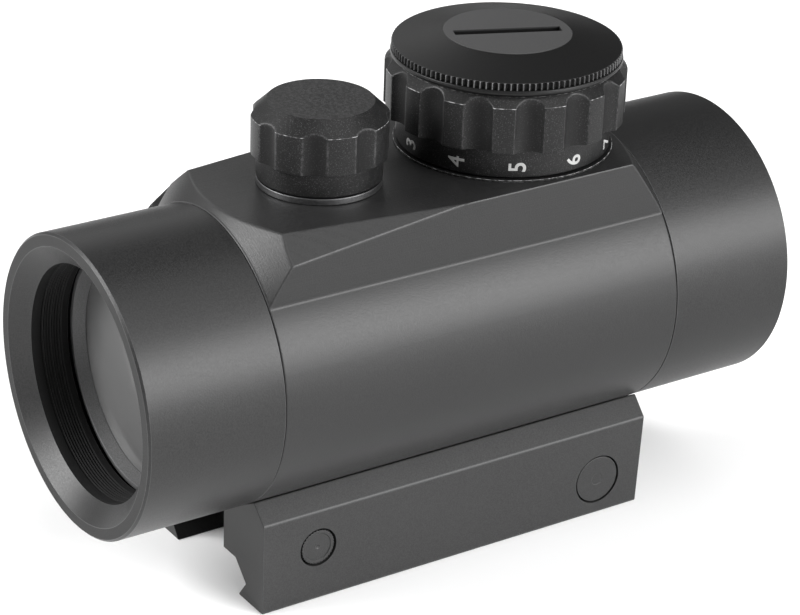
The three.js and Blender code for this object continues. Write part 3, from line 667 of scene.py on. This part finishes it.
def wedge_plane(side, flat):
    """The tapering facet on an upper front corner, as a normal (x, y, z) and its distance."""
    corner_y = FRONT_SEAM + (math.hypot(NEAR_FLAT, TOP_FLAT) - TUBE_RADIUS) / CONE_SLOPE
    tip = Vector((side * flat, corner_y + WEDGE_LENGTH, TOP_FLAT))
    upper = Vector((side * (flat - WEDGE_WIDTH), corner_y, TOP_FLAT))
    lower = Vector((side * flat, corner_y, TOP_FLAT - WEDGE_DROP))
    normal = (upper - tip).cross(lower - tip).normalized()
    if normal.z < 0:
        normal.negate()
    return normal, normal.dot(tip)


WEDGES = [wedge_plane(1, NEAR_FLAT), wedge_plane(-1, FAR_FLAT)]


def housing_reach(angle, y):
    """How far the housing's outside is from the axis, and how much its edges there are lightened, as
    rubbed wear and painted highlight.
    """
    cos, sin = math.cos(angle), math.sin(angle)
    if sin < 0.3:
        return TUBE_RADIUS, 0.0
    planes = [TOP_FLAT / sin]
    if cos > TINY:
        planes.append(NEAR_FLAT / cos)
    if cos < -TINY:
        planes.append(-FAR_FLAT / cos)
    planes.append(TUBE_RADIUS + CONE_SLOPE * (y - FRONT_SEAM))
    planes.append(TUBE_RADIUS + CONE_SLOPE * (REAR_SEAM - y))
    for normal, distance in WEDGES:
        facing = normal.x * cos + normal.z * sin
        if facing > TINY:
            planes.append((distance - normal.y * y) / facing)
    block, worn = soft_min(planes, EDGE_BLEND)
    if block <= TUBE_RADIUS - EDGE_BLEND:
        return TUBE_RADIUS, 0.0
    radius, _ = soft_min((-block, -TUBE_RADIUS), EDGE_BLEND)
    return -radius, worn if block > TUBE_RADIUS else 0.0


def stepped(stops):
    """Stations between stops, given as (position, spacing after it)."""
    out = []
    for (start, spacing), (end, _) in zip(stops, stops[1:]):
        parts = max(1, math.ceil((end - start) / spacing))
        out += [start + (end - start) * i / parts for i in range(parts)]
    return out + [stops[-1][0]]


def housing_rows():
    """Stations along the housing, as (y, inset, lightening): rounded at the seams, with the seam edges
    lightened as rubbed wear and painted highlight.
    """
    first, last = FRONT_SEAM + HOUSING_EDGE, REAR_SEAM - HOUSING_EDGE
    stations = stepped([
        (first, 0.12),
        (FRONT_SEAM + TURNED_ENDS, 0.5),
        (FRONT_SEAM + TURNED_ENDS + WEDGE_LENGTH, 0.8),
        (REAR_SEAM - TURNED_ENDS, 0.13),
        (last, 1),
    ])
    rows = [(FRONT_SEAM, HOUSING_EDGE, 0.6), (FRONT_SEAM + 0.04, HOUSING_EDGE * 0.35, 1.0)]
    rows += [(y, 0.0, 0.0) for y in stations]
    rows += [(REAR_SEAM - 0.04, HOUSING_EDGE * 0.35, 1.0), (REAR_SEAM, HOUSING_EDGE, 0.6)]
    return rows


def make_housing():
    """The middle block with its bore, its windage boss and the holes for turrets, dial and screws."""
    angles = [math.radians(d) for d in stepped(HOUSING_DEGREES)[:-1]]
    rows = housing_rows()
    points, wear_and_painted_light = [], []
    for angle in angles:
        cos, sin = math.cos(angle), math.sin(angle)
        for y, inset, end_wear in rows:
            station = min(max(y, FRONT_SEAM + HOUSING_EDGE), REAR_SEAM - HOUSING_EDGE)
            radius, worn = housing_reach(angle, station)
            points.append(((radius - inset) * cos, y, (radius - inset) * sin))
            wear_and_painted_light.append(max(worn, end_wear))
        for y in (REAR_SEAM, FRONT_SEAM):
            points.append((HOUSING_BORE * cos, y, HOUSING_BORE * sin))
            wear_and_painted_light.append(0.0)
    count = len(rows) + 2
    faces = []
    for i in range(len(angles)):
        j = (i + 1) % len(angles)
        for k in range(count):
            m = (k + 1) % count
            faces.append((i * count + k, j * count + k, j * count + m, i * count + m))
    housing = make_object("housing_shell", points, faces, wear_and_painted_light, place(0, 0, AXIS_Z))

    boss = rounded([(0, -BOSS_DEPTH), (BOSS_RADIUS, -BOSS_DEPTH), (BOSS_RADIUS, 0, 0.2), (0, 0)])
    combine(housing, "UNION", lathe("boss", boss, ON_WINDAGE, even_angles(128)))
    combine(
        housing,
        "DIFFERENCE",
        drum(5.1, -TOP_FLAT, 1, ON_ELEVATION),
        drum(5.1, -WINDAGE_FLAT, 1, ON_WINDAGE),
        drum(9.9, -TOP_FLAT, 1, ON_DIAL),
        *[drum(1.5, 2, AXIS_Z, place(0, y, 0), 32) for y in SCREW_YS],
    )
    finish(sharpen(housing, 40), HOUSING, "housing", "anodised", "main_housing")


# Lens, inner tube and window ----------------------------------------------------------------------

CELL_FACE = FRONT_FACE + 7.8
CELL_RADIUS = 15.8
LENS_EDGE = CELL_FACE + 1.6
LENS_RADIUS = 15.2
LENS_THICKNESS = 2.8
LENS_SAG = 0.9
LENS_STEPS = 24


def bulge(radius):
    """How far the lens's back face bulges towards the target at a radius."""
    return LENS_SAG * (1 - (radius / LENS_RADIUS) ** 2)


def make_optics():
    """The lens with its ring and the inner tube that holds it, and the rear window with its ring."""
    ring = rounded([(CELL_RADIUS, 0), (CELL_RADIUS, 1.5), (14.3, 1.5, 0.05), (15.1, 0, 0.06)])
    ring = [(r, CELL_FACE + h, w) for r, h, w in ring]
    finish(lathe("cell_ring", ring, ON_AXIS), CELL, "inner_tube", "blackened", "objective_ring")

    radii = [LENS_RADIUS * i / LENS_STEPS for i in range(LENS_STEPS + 1)]
    front = [(r, LENS_EDGE - bulge(r) * 0.9, 0.0) for r in radii]
    back = [(r, LENS_EDGE + LENS_THICKNESS - bulge(r), 0.0) for r in reversed(radii)]
    lens = lathe("lens", front + back, ON_AXIS)
    finish(sharpen(lens, 30), LENS_GLASS, "inner_tube", "glass", "objective_lens")

    low, high = span("inner_tube", Y)
    seat = LENS_EDGE + 3.5
    tube = rounded([
        (CELL_RADIUS, low),
        (CELL_RADIUS, seat - 0.2),
        (15.6, seat - 0.2),
        (15.6, high),
        (13.9, high),
        (13.9, seat),
        (15.3, seat),
        (15.3, low),
    ])
    finish(lathe("inner_tube_shell", tube, ON_AXIS), BLACKENED, "inner_tube", "blackened", "inner_tube")

    low, high = span("rear_window", Y)
    window = rounded([(0, low), (16.1, low), (16.1, high), (0, high)])
    finish(lathe("rear_glass", window, ON_AXIS), WINDOW_GLASS, "housing", "glass", "rear_window")
    low, high = span("rear_window_ring", Y)
    ring = rounded([(14.4, low), (16.1, low), (16.1, high), (14.4, high)])
    finish(lathe("window_ring", ring, ON_AXIS), BLACKENED, "housing", "blackened", "rear_window_ring")


# Turrets: drawn with the seat on the housing at height 0 ------------------------------------------

CAP = {"count": 8, "first": math.radians(-36), "cutter": 3.9, "depth": 0.48, "grip": 8.75}
CAP_GRIP_BOTTOM = 4.17
CAP_GRIP_TOP = 9.15
CAP_HEIGHT = 11.04
CAP_DISC = 6.77
CAP_SPACING = 0.13
NECK_RADIUS = 6.3
CAP_THREAD_PITCH = 0.75


def cap_wear(height, wear_and_painted_light):
    """A cap's top gets painted light, a little lighter, inside a fine dark line of painted shade, and
    nothing is rubbed below its grip.
    """
    if height > CAP_HEIGHT - 0.005:
        return 0.06
    if height > CAP_HEIGHT - 0.1:
        return -1.0
    return wear_and_painted_light if height > CAP_GRIP_BOTTOM + 1 else 0.0


def make_turret(prefix, matrix, seat, tip):
    """A collar, its adjusting screw and its cap. `seat` and `tip` are measured from the tube's axis."""
    barrel = HOUSING_BORE - seat + 0.3
    collar = rounded([
        (2.6, barrel),
        (5, barrel),
        (5, 0.05),
        (8, 0.05, 0.1),
        (8, 0.9, 0.12),
        (NECK_RADIUS, 0.9, 0.05),
        *thread(NECK_RADIUS, 1.4, 6.2, CAP_THREAD_PITCH, -0.3),
        (6.2, 6.6),
        (4.6, 6.6),
        (4.6, 3),
        (2.6, 3),
    ])
    obj = lathe(f"{prefix}_collar_ring", collar, matrix)
    finish(obj, COLLAR, "housing", "steel", f"{prefix}_collar")

    low = tip - seat
    screw = rounded([(0, low), (1.7, low), (2.5, low + 0.8), (2.5, 3.1), (4.4, 3.1), (4.4, 6.2), (0, 6.2)])
    obj = lathe(f"{prefix}_adjuster", screw, matrix, even_angles(96))
    combine(obj, "DIFFERENCE", slab((12, 1.2), 4.8, 8, matrix))
    finish(sharpen(obj), BRASS, f"{prefix}_screw", "brass", f"{prefix}_screw")

    shell = rounded([
        (0, CAP_HEIGHT),
        (CAP_DISC, CAP_HEIGHT, 0.05),
        (CAP["grip"], CAP_GRIP_TOP, 0.1),
        (CAP["grip"], CAP_GRIP_BOTTOM, 0.1),
        (8.05, CAP_GRIP_BOTTOM, 0.04),
        (8, 1.1, 0.12),
        (7.55, 1.1),
        (7.55, 2.4),
        (6.45, 2.4),
        (6.45, 8.64),
        (0, 8.64),
    ])
    shell = [(r, h, cap_wear(h, w)) for r, h, w in densely(shell, CAP_SPACING)]
    reach = fluted(bottom=CAP_GRIP_BOTTOM - 0.05, **CAP)
    obj = lathe(f"{prefix}_cap_shell", shell, matrix, flute_angles(**CAP), reach)
    finish(obj, KNOB, f"{prefix}_cap", "knob", f"{prefix}_cap")


# Brightness dial: drawn with the top flat at height 0 ---------------------------------------------

DIAL = {"count": 15, "first": math.radians(0.5), "cutter": 2.48, "depth": 1.0, "grip": 15.7}
SKIRT_RADIUS = 13.9
SKIRT_BORE = SKIRT_RADIUS - 1.2
GRIP_BOTTOM = 4.43
DIAL_TOP = 11.65
DIAL_SPACING = 0.14
DETENT_RADIUS = 10.9  # from the dial's axis to the click ball
COVER_RIM = 14.9
KNURL_TEETH = 120
KNURL_LOW = 12.6
KNURL_HIGH = 13.56
COVER_TOP = 15.07
COVER_DISC = 8.24
COIN_SLOT = (14.1, 1.7)
COIN_SLOT_DEPTH = 1.2
COIN_SLOT_TURN = math.radians(68)


def make_dial():
    """The thin ring and hub fixed to the housing, and the fluted dial that turns on them."""
    low = span("dial_base", Z)[0] - AXIS_Z - TOP_FLAT
    base = rounded([
        (2, low),
        (9.8, low),
        (9.8, 0.05),
        (14.3, 0.05, 0.05),
        (14.3, 0.3, 0.06),
        (8, 0.3),
        (8, 5.1),
        (6.6, 5.1),
        (6.6, 5.7),
        (2, 5.7),
    ])
    obj = lathe("dial_base_hub", base, ON_DIAL)
    detent = ON_DIAL @ Matrix.Translation((0, DETENT_RADIUS, 0))
    combine(obj, "UNION", drum(1.55, 0.1, 2.5, detent, 32))
    combine(obj, "DIFFERENCE", drum(0.95, 0.5, 3, detent, 32))
    finish(sharpen(obj), KNOB, "housing", "knob", "dial_base")

    outside = rounded([
        (SKIRT_BORE, 0.55),
        (SKIRT_RADIUS, 0.55, 0.1),
        (SKIRT_RADIUS, GRIP_BOTTOM, 0.05),
        (DIAL["grip"], GRIP_BOTTOM, 0.12),
        (DIAL["grip"], 10.5, 0.12),
        (14.5, DIAL_TOP, 0.08),
        (14.1, DIAL_TOP, 0.02),
    ], closed=False)
    inside = rounded([
        (14.1, DIAL_TOP),
        (14.1, 10.9),
        (13.1, 10.9),
        (13.1, DIAL_TOP),
        (12.6, DIAL_TOP),
        (12.6, 10),
        (10.3, 10),
        (10.3, 5),
        (8.1, 5),
        (8.1, 3.8),
        (SKIRT_BORE, 3.8),
        (SKIRT_BORE, 0.55),
    ], closed=False)
    # The skirt below the grip gets painted shade, dull black, where the grip shades it.
    outside = [(r, h, w if h > GRIP_BOTTOM + 1 else -1.0) for r, h, w in outside]
    profile = densely(outside + inside[1:-1], DIAL_SPACING)
    reach = fluted(bottom=GRIP_BOTTOM - 0.05, **DIAL)
    obj = lathe("dial_shell", profile, ON_DIAL, flute_angles(**DIAL), reach)
    finish(obj, KNOB, "brightness_dial", "knob", "brightness_dial")


def knurled(angle, radius, height):
    """Fine upright teeth round the cover's rim, with painted shade in the valleys and tooth tops lightened
    as rubbed wear and painted highlight.
    """
    if radius < 14 or not KNURL_LOW < height < KNURL_HIGH:
        return radius, 0.0
    wave = (1 + math.cos(angle * KNURL_TEETH)) / 2
    return radius - 0.4 * (1 - wave) ** 0.6, 1.0 if wave > 0.9 else -1.0 if wave < 0.5 else 0.0


def make_cover():
    """The battery cover: a knurled rim, a shallow cone and a raised disc with a coin slot."""
    profile = rounded([
        (0, 10.2),
        (12.5, 10.2),
        (12.5, 11.75),
        (14.6, 11.75, 0.1),
        (15.05, 12.1, 0.3),
        (14.95, 12.58, 0.2),
        (14.7, 12.6, 0.02),
        (COVER_RIM, 12.64, 0.02),
        (COVER_RIM, 13.5, 0.05),
        (14.75, 13.58, 0.05),
        (COVER_DISC + 0.1, COVER_TOP - 0.1, 0.03),
        (COVER_DISC, COVER_TOP, 0.03),
        (0, COVER_TOP),
    ])
    profile = [(r, h, w if h > KNURL_LOW + 0.1 else 0.0) for r, h, w in profile]
    obj = lathe("battery_cover", profile, ON_DIAL, even_angles(KNURL_TEETH * 8), knurled)
    floor = COVER_TOP - COIN_SLOT_DEPTH
    combine(obj, "DIFFERENCE", slab(COIN_SLOT, floor, COVER_TOP + 1, ON_DIAL, COIN_SLOT_TURN))
    # The raised disc gets painted light, a little lighter, and the coin slot gets painted shade, dull
    # black.
    undo = ON_DIAL.inverted()
    for vertex, wear_and_painted_light in zip(obj.data.vertices, obj.data.attributes["wear_and_painted_light"].data):
        x, y, height = undo @ vertex.co
        if math.hypot(x, y) < COVER_DISC + 0.02 and height > floor - 0.1:
            wear_and_painted_light.value = 0.32 if height > COVER_TOP - 0.05 else -1.0
    finish(sharpen(obj, 50), COVER, "battery_cap", "knob", "battery_cap")


def make_seals():
    """The rings under the three screwed covers."""
    steps = even_angles(16)
    for name, matrix, ring, section, height in (
        ("elevation_cap_seal", ON_ELEVATION, 6.95, 0.5, 1.75),
        ("windage_cap_seal", ON_WINDAGE, 6.95, 0.5, 1.75),
        ("battery_cap_seal", ON_DIAL, 13.6, 0.4, 11.32),
    ):
        profile = [(ring + section * math.cos(a), height + section * math.sin(a), 0.0) for a in steps]
        obj = lathe(f"{name}_ring", profile, matrix, even_angles(128))
        finish(obj, RUBBER, name, "rubber", name)


# Digits on the skirt ------------------------------------------------------------------------------

DIGIT_HEIGHT = 2.25
DIGIT_MIDDLE = 1.95  # height of the digits' middle above the top flat
DIGIT_NARROWING = 0.95
DIGIT_FIVE = math.radians(-27.4)
DIGITS = 11
PAINT_DEPTH = 0.03
FONT_SIZE = 3.1  # before the outline is brought to DIGIT_HEIGHT
STROKE_EXTRA = 0.05
LONGEST_EDGE = 0.35


def digit_mesh(text):
    """One number as a flat outline mesh, in millimetres, centred on its own middle."""
    curve = bpy.data.curves.new("digit", "FONT")
    curve.body = text
    curve.size = FONT_SIZE
    curve.resolution_u = 6
    curve.align_x = "CENTER"
    curve.align_y = "CENTER"
    obj = bpy.data.objects.new("digit", curve)
    bpy.context.scene.collection.objects.link(obj)
    bpy.context.view_layer.update()
    mesh = bpy.data.meshes.new_from_object(obj.evaluated_get(bpy.context.evaluated_depsgraph_get()))
    bpy.data.objects.remove(obj)
    body = bmesh.new()
    body.from_mesh(mesh)
    bmesh.ops.remove_doubles(body, verts=body.verts, dist=1e-4)
    outward = {v: Vector() for v in body.verts}
    for edge in body.edges:
        if len(edge.link_faces) == 1:
            p, q = (v.co for v in edge.verts)
            away = (q - p).cross(Vector((0, 0, 1))).normalized()
            if away.dot(edge.link_faces[0].calc_center_median() - p) > 0:
                away.negate()
            for v in edge.verts:
                outward[v] += away
    for v, away in outward.items():
        v.co += away.normalized() * STROKE_EXTRA
    bmesh.ops.triangulate(body, faces=body.faces)
    for _ in range(4):
        long = [e for e in body.edges if e.calc_length() > LONGEST_EDGE]
        if long:
            bmesh.ops.subdivide_edges(body, edges=long, cuts=1)
            bmesh.ops.triangulate(body, faces=body.faces)
    xs = [v.co.x for v in body.verts]
    ys = [v.co.y for v in body.verts]
    scale = DIGIT_HEIGHT / (max(ys) - min(ys))
    shift = Vector(((max(xs) + min(xs)) / 2, (max(ys) + min(ys)) / 2, 0))
    for v in body.verts:
        v.co = (v.co - shift) * scale
    return body


def make_digits():
    """Numbers 0 to 10 round the skirt, each lying on its side with its top towards the last one."""
    points, faces = [], []
    for number in range(DIGITS):
        body = digit_mesh(str(number))
        centre = DIGIT_FIVE + (number - 5) * (TURN / DIGITS)
        body.verts.index_update()
        first, count = len(points), len(body.verts)
        for radius in (SKIRT_RADIUS + PAINT_DEPTH, SKIRT_RADIUS - PAINT_DEPTH):
            for v in body.verts:
                angle = centre - v.co.y / SKIRT_RADIUS
                height = DIGIT_MIDDLE + v.co.x * DIGIT_NARROWING
                points.append((radius * math.cos(angle), radius * math.sin(angle), height))
        for face in body.faces:
            corners = [first + v.index for v in face.verts]
            faces += [tuple(corners), tuple(c + count for c in reversed(corners))]
        for edge in body.edges:
            if len(edge.link_faces) == 1:
                p, q = (first + v.index for v in edge.verts)
                faces.append((p, q, q + count, p + count))
        body.free()
    obj = make_object("dial_digits", points, faces, [0.0] * len(points), ON_DIAL)
    finish(sharpen(obj, 40), PAINT, "brightness_dial", "knob")


# Rail clamp ---------------------------------------------------------------------------------------


BASE_LEAN = 0.65
SADDLE_GAP = 0.06
SADDLE_STEPS = 28
END_RELIEF = 5.3  # length at each end where the base is cut away between the jaws
STUD_GAP = 0.24  # round the heads
STUD_TEETH = 34
STUD_GROOVE = 0.16


def saddle(from_x, to_x):
    """The hollow that the tube rests in, as sharp outline points."""
    radius = TUBE_RADIUS + SADDLE_GAP
    xs = [from_x + (to_x - from_x) * i / SADDLE_STEPS for i in range(SADDLE_STEPS + 1)]
    return [(x, AXIS_Z - math.sqrt(radius * radius - x * x), 0) for x in xs]


def make_base():
    """The saddle and fixed jaw, with the holes for studs and screws."""
    outline = [
        (-8, 0),
        (6.45, 0),
        (9.1, -2.6),
        (7.3, JAW_BOTTOM),
        (NEAR_FACE, JAW_BOTTOM, 0.35),
        (NEAR_FACE, 7.85, 0.5),
        (10.98, 10.25, 0.25),
        *saddle(10.2, -8),
    ]
    base = bar("fixed_jaw", outline, BASE_FRONT, BASE_REAR, BASE_LEAN)
    for end, inward in ((BASE_FRONT, 1), (BASE_REAR, -1)):
        centre = end + inward * (END_RELIEF - 1) / 2
        combine(base, "DIFFERENCE", slab((12.5, END_RELIEF + 1), -1, 15, place(-2.75, centre, 0)))
    for y, z, head in STUDS.values():
        at = place(0, y, z, X)
        shank, pocket = drum(STUD_HOLE, -9, 14, at, 48), drum(head + STUD_GAP, NEAR_FACE - 2.5, 15, at)
        combine(base, "DIFFERENCE", shank, pocket)
    for y in SCREW_YS:
        at = place(0, y, 0)
        combine(base, "DIFFERENCE", drum(3, -1, 3, at, 64), drum(1.6, 2, 12, at, 32))
    finish(sharpen(base, 40), JAW, "housing", "anodised", "mount_base")


def make_jaw():
    """The sliding jaw on the far side."""
    outline = [
        (-8.3, 0),
        (-8.3, 8.2),
        (FAR_FACE + 2.4, 10, 0.25),
        (FAR_FACE, 7.85, 0.5),
        (FAR_FACE, JAW_BOTTOM + 0.8),
        (FAR_FACE + 0.8, JAW_BOTTOM),
        (-8.5, JAW_BOTTOM),
        (-10.3, -2.6),
    ]
    jaw = bar("sliding_jaw", outline, BASE_FRONT, BASE_REAR)
    for y, z, _ in STUDS.values():
        combine(jaw, "DIFFERENCE", drum(STUD_HOLE, -16, -7, place(0, y, z, X), 48))
    finish(sharpen(jaw, 40), JAW, "clamp_jaw", "anodised", "clamp_jaw")


def serrated(angle, radius, height):
    """Fine grooves round the front stud's head."""
    if radius < 2.2:
        return radius, 0.0
    return radius - STUD_GROOVE * (1 + math.cos(angle * STUD_TEETH)) / 2, 0.0


def make_studs():
    """The two cross studs and the slotted nuts on their far ends."""
    for name, (y, z, head) in STUDS.items():
        at = place(0, y, z, X)
        low, high = span(f"{name}_stud", X)
        neck = high - 2.3
        if name == "front":
            face = [(1.95, high, 0.02), (1.85, high - 0.12, 0.02), (0.35, high - 0.12), (0, high - 0.35)]
            reach = serrated
        else:
            face = [(0.9, high, 0.02), (0.8, high - 0.04), (0, high - 0.04)]
            reach = None
        shank = [(0, low), (1.45, low), (1.85, low + 0.4), (1.85, neck)]
        profile = rounded([*shank, (head, neck), (head, high, 0.08), *face])
        stud = lathe(f"{name}_cross_stud", profile, at, even_angles(STUD_TEETH * 8), reach)
        finish(stud, JAW, "housing", "anodised", f"{name}_stud")

        nut_low, nut_high = span(f"{name}_clamp_nut", X)
        profile = rounded([(2, nut_low), (4, nut_low, 0.25), (4, nut_high), (2, nut_high)])
        nut = lathe(f"{name}_slotted_nut", profile, at, even_angles(128))
        combine(nut, "DIFFERENCE", slab((1.2, 12), -1, 1.2, place(nut_low, y, z, X)))
        finish(sharpen(nut), KNOB, f"{name}_clamp_nut", "blackened", f"{name}_clamp_nut")


def make_base_screws():
    """The socket screws that hold the base to the housing."""
    for number, y in enumerate(SCREW_YS, 1):
        at = place(0, y, 0)
        high = span(f"base_screw_{number}", Z)[1]
        profile = rounded([(0, 0.5), (2.8, 0.5, 0.3), (2.8, 2.9), (1.4, 2.9), (1.4, high), (0, high)])
        screw = lathe(f"socket_screw_{number}", profile, at, even_angles(96))
        combine(screw, "DIFFERENCE", drum(1.45, -1, 2, at, 6))
        finish(sharpen(screw), STEEL, "housing", "steel", f"base_screw_{number}")


# Stage --------------------------------------------------------------------------------------------


FLOOR_HALF = 4000  # mm
FLOOR_GAP = 0.05
FLOOR_GLOW = 0.06
WORLD_STRENGTH = 0.1

# Name: position, target and size in metres, and power in watts.
LIGHTS = {
    "softbox_over": ((0.5, 0.15, 1.1), (0, 0, 0), (1.1, 1.1), 9),
    "softbox_near": ((1.0, 0.52, 0.42), (0, 0, 0.03), (0.9, 0.6), 22),
    "softbox_front": ((-0.38, -0.85, 0.5), (0, 0, 0.03), (0.6, 0.45), 17),
    "softbox_far": ((-1.0, 0.05, 0.55), (0, 0, 0.03), (1.2, 0.5), 1.8),
}


def area_light(name, position, target, size, power):
    """A rectangular soft light aimed at a point."""
    light = bpy.data.lights.new(name, "AREA")
    light.shape = "RECTANGLE"
    light.size, light.size_y = size
    light.energy = power
    obj = bpy.data.objects.new(name, light)
    obj.location = position
    obj.rotation_euler = (Vector(target) - Vector(position)).to_track_quat("-Z", "Y").to_euler()
    bpy.context.scene.collection.objects.link(obj)


def make_stage():
    """A pale floor under the part, a dim even surround and the lights."""
    level = cad_box[0].z / MM - FLOOR_GAP
    corners = [(-FLOOR_HALF, -FLOOR_HALF), (FLOOR_HALF, -FLOOR_HALF)]
    corners += [(FLOOR_HALF, FLOOR_HALF), (-FLOOR_HALF, FLOOR_HALF)]
    points = [(x, y, level) for x, y in corners]
    floor = make_object("floor", points, [(0, 1, 2, 3)], [0.0] * 4, AS_DRAWN)
    g = Graph("floor_paper")
    paper = g.mix(g.ramp(g.noise(300, 2), 0.3, 0.7), (0.9, 0.9, 0.9), (0.93, 0.93, 0.93))
    g.link(paper, g.shader.inputs["Base Color"])
    g.set(Roughness=0.9, Emission_Color=(1, 1, 1, 1), Emission_Strength=FLOOR_GLOW)
    floor.data.materials.append(g.material)

    world = bpy.data.worlds.new("studio")
    world.use_nodes = True
    background = world.node_tree.nodes["Background"]
    background.inputs["Color"].default_value = (1, 1, 1, 1)
    background.inputs["Strength"].default_value = WORLD_STRENGTH
    bpy.context.scene.world = world
    bpy.context.scene.view_settings.view_transform = "Standard"
    for name, settings in LIGHTS.items():
        area_light(name, *settings)


CAMERA_POSITION = (0.287238, -0.195022, 0.193432)
CAMERA_TARGET = (-0.011904, 0.006770, 0.019177)
CAMERA_ROLL = -2.042
CAMERA_LENS = 132.33


def make_camera():
    """The photograph's view, with a slight roll."""
    position, target = Vector(CAMERA_POSITION), Vector(CAMERA_TARGET)
    ahead = (target - position).normalized()
    right = ahead.cross(Vector((0, 0, 1))).normalized()
    down = ahead.cross(right)
    roll = math.radians(CAMERA_ROLL)
    rolled_right = math.cos(roll) * right + math.sin(roll) * down
    rolled_down = math.cos(roll) * down - math.sin(roll) * right
    turn = Matrix((rolled_right, -rolled_down, -ahead)).transposed().to_4x4()
    camera = bpy.data.objects.new("camera", bpy.data.cameras.new("camera"))
    camera.matrix_world = Matrix.Translation(position) @ turn
    camera.data.lens = CAMERA_LENS
    camera.data.sensor_width = 36
    camera.data.clip_start = 0.01
    bpy.context.scene.collection.objects.link(camera)
    bpy.context.scene.camera = camera


def paint_cad_nodes():
    """Every CAD node gets its slot's material, shown or not."""
    slots = {s["node"]: s["material_slot"] for s in frame["record"]["subparts"]}
    for name, obj in frame["nodes"].items():
        material = SLOT_MATERIALS[slots[name]]
        for slot in obj.material_slots:
            slot.material = material


paint_cad_nodes()
make_tubes()
make_housing()
make_optics()
make_turret("elevation", ON_ELEVATION, TOP_FLAT, span("elevation_screw", Z)[0] - AXIS_Z)
make_turret("windage", ON_WINDAGE, WINDAGE_FLAT, -span("windage_screw", X)[1])
make_dial()
make_cover()
make_seals()
make_digits()
make_base()
make_jaw()
make_studs()
make_base_screws()
make_stage()
make_camera()

bpy.context.view_layer.update()
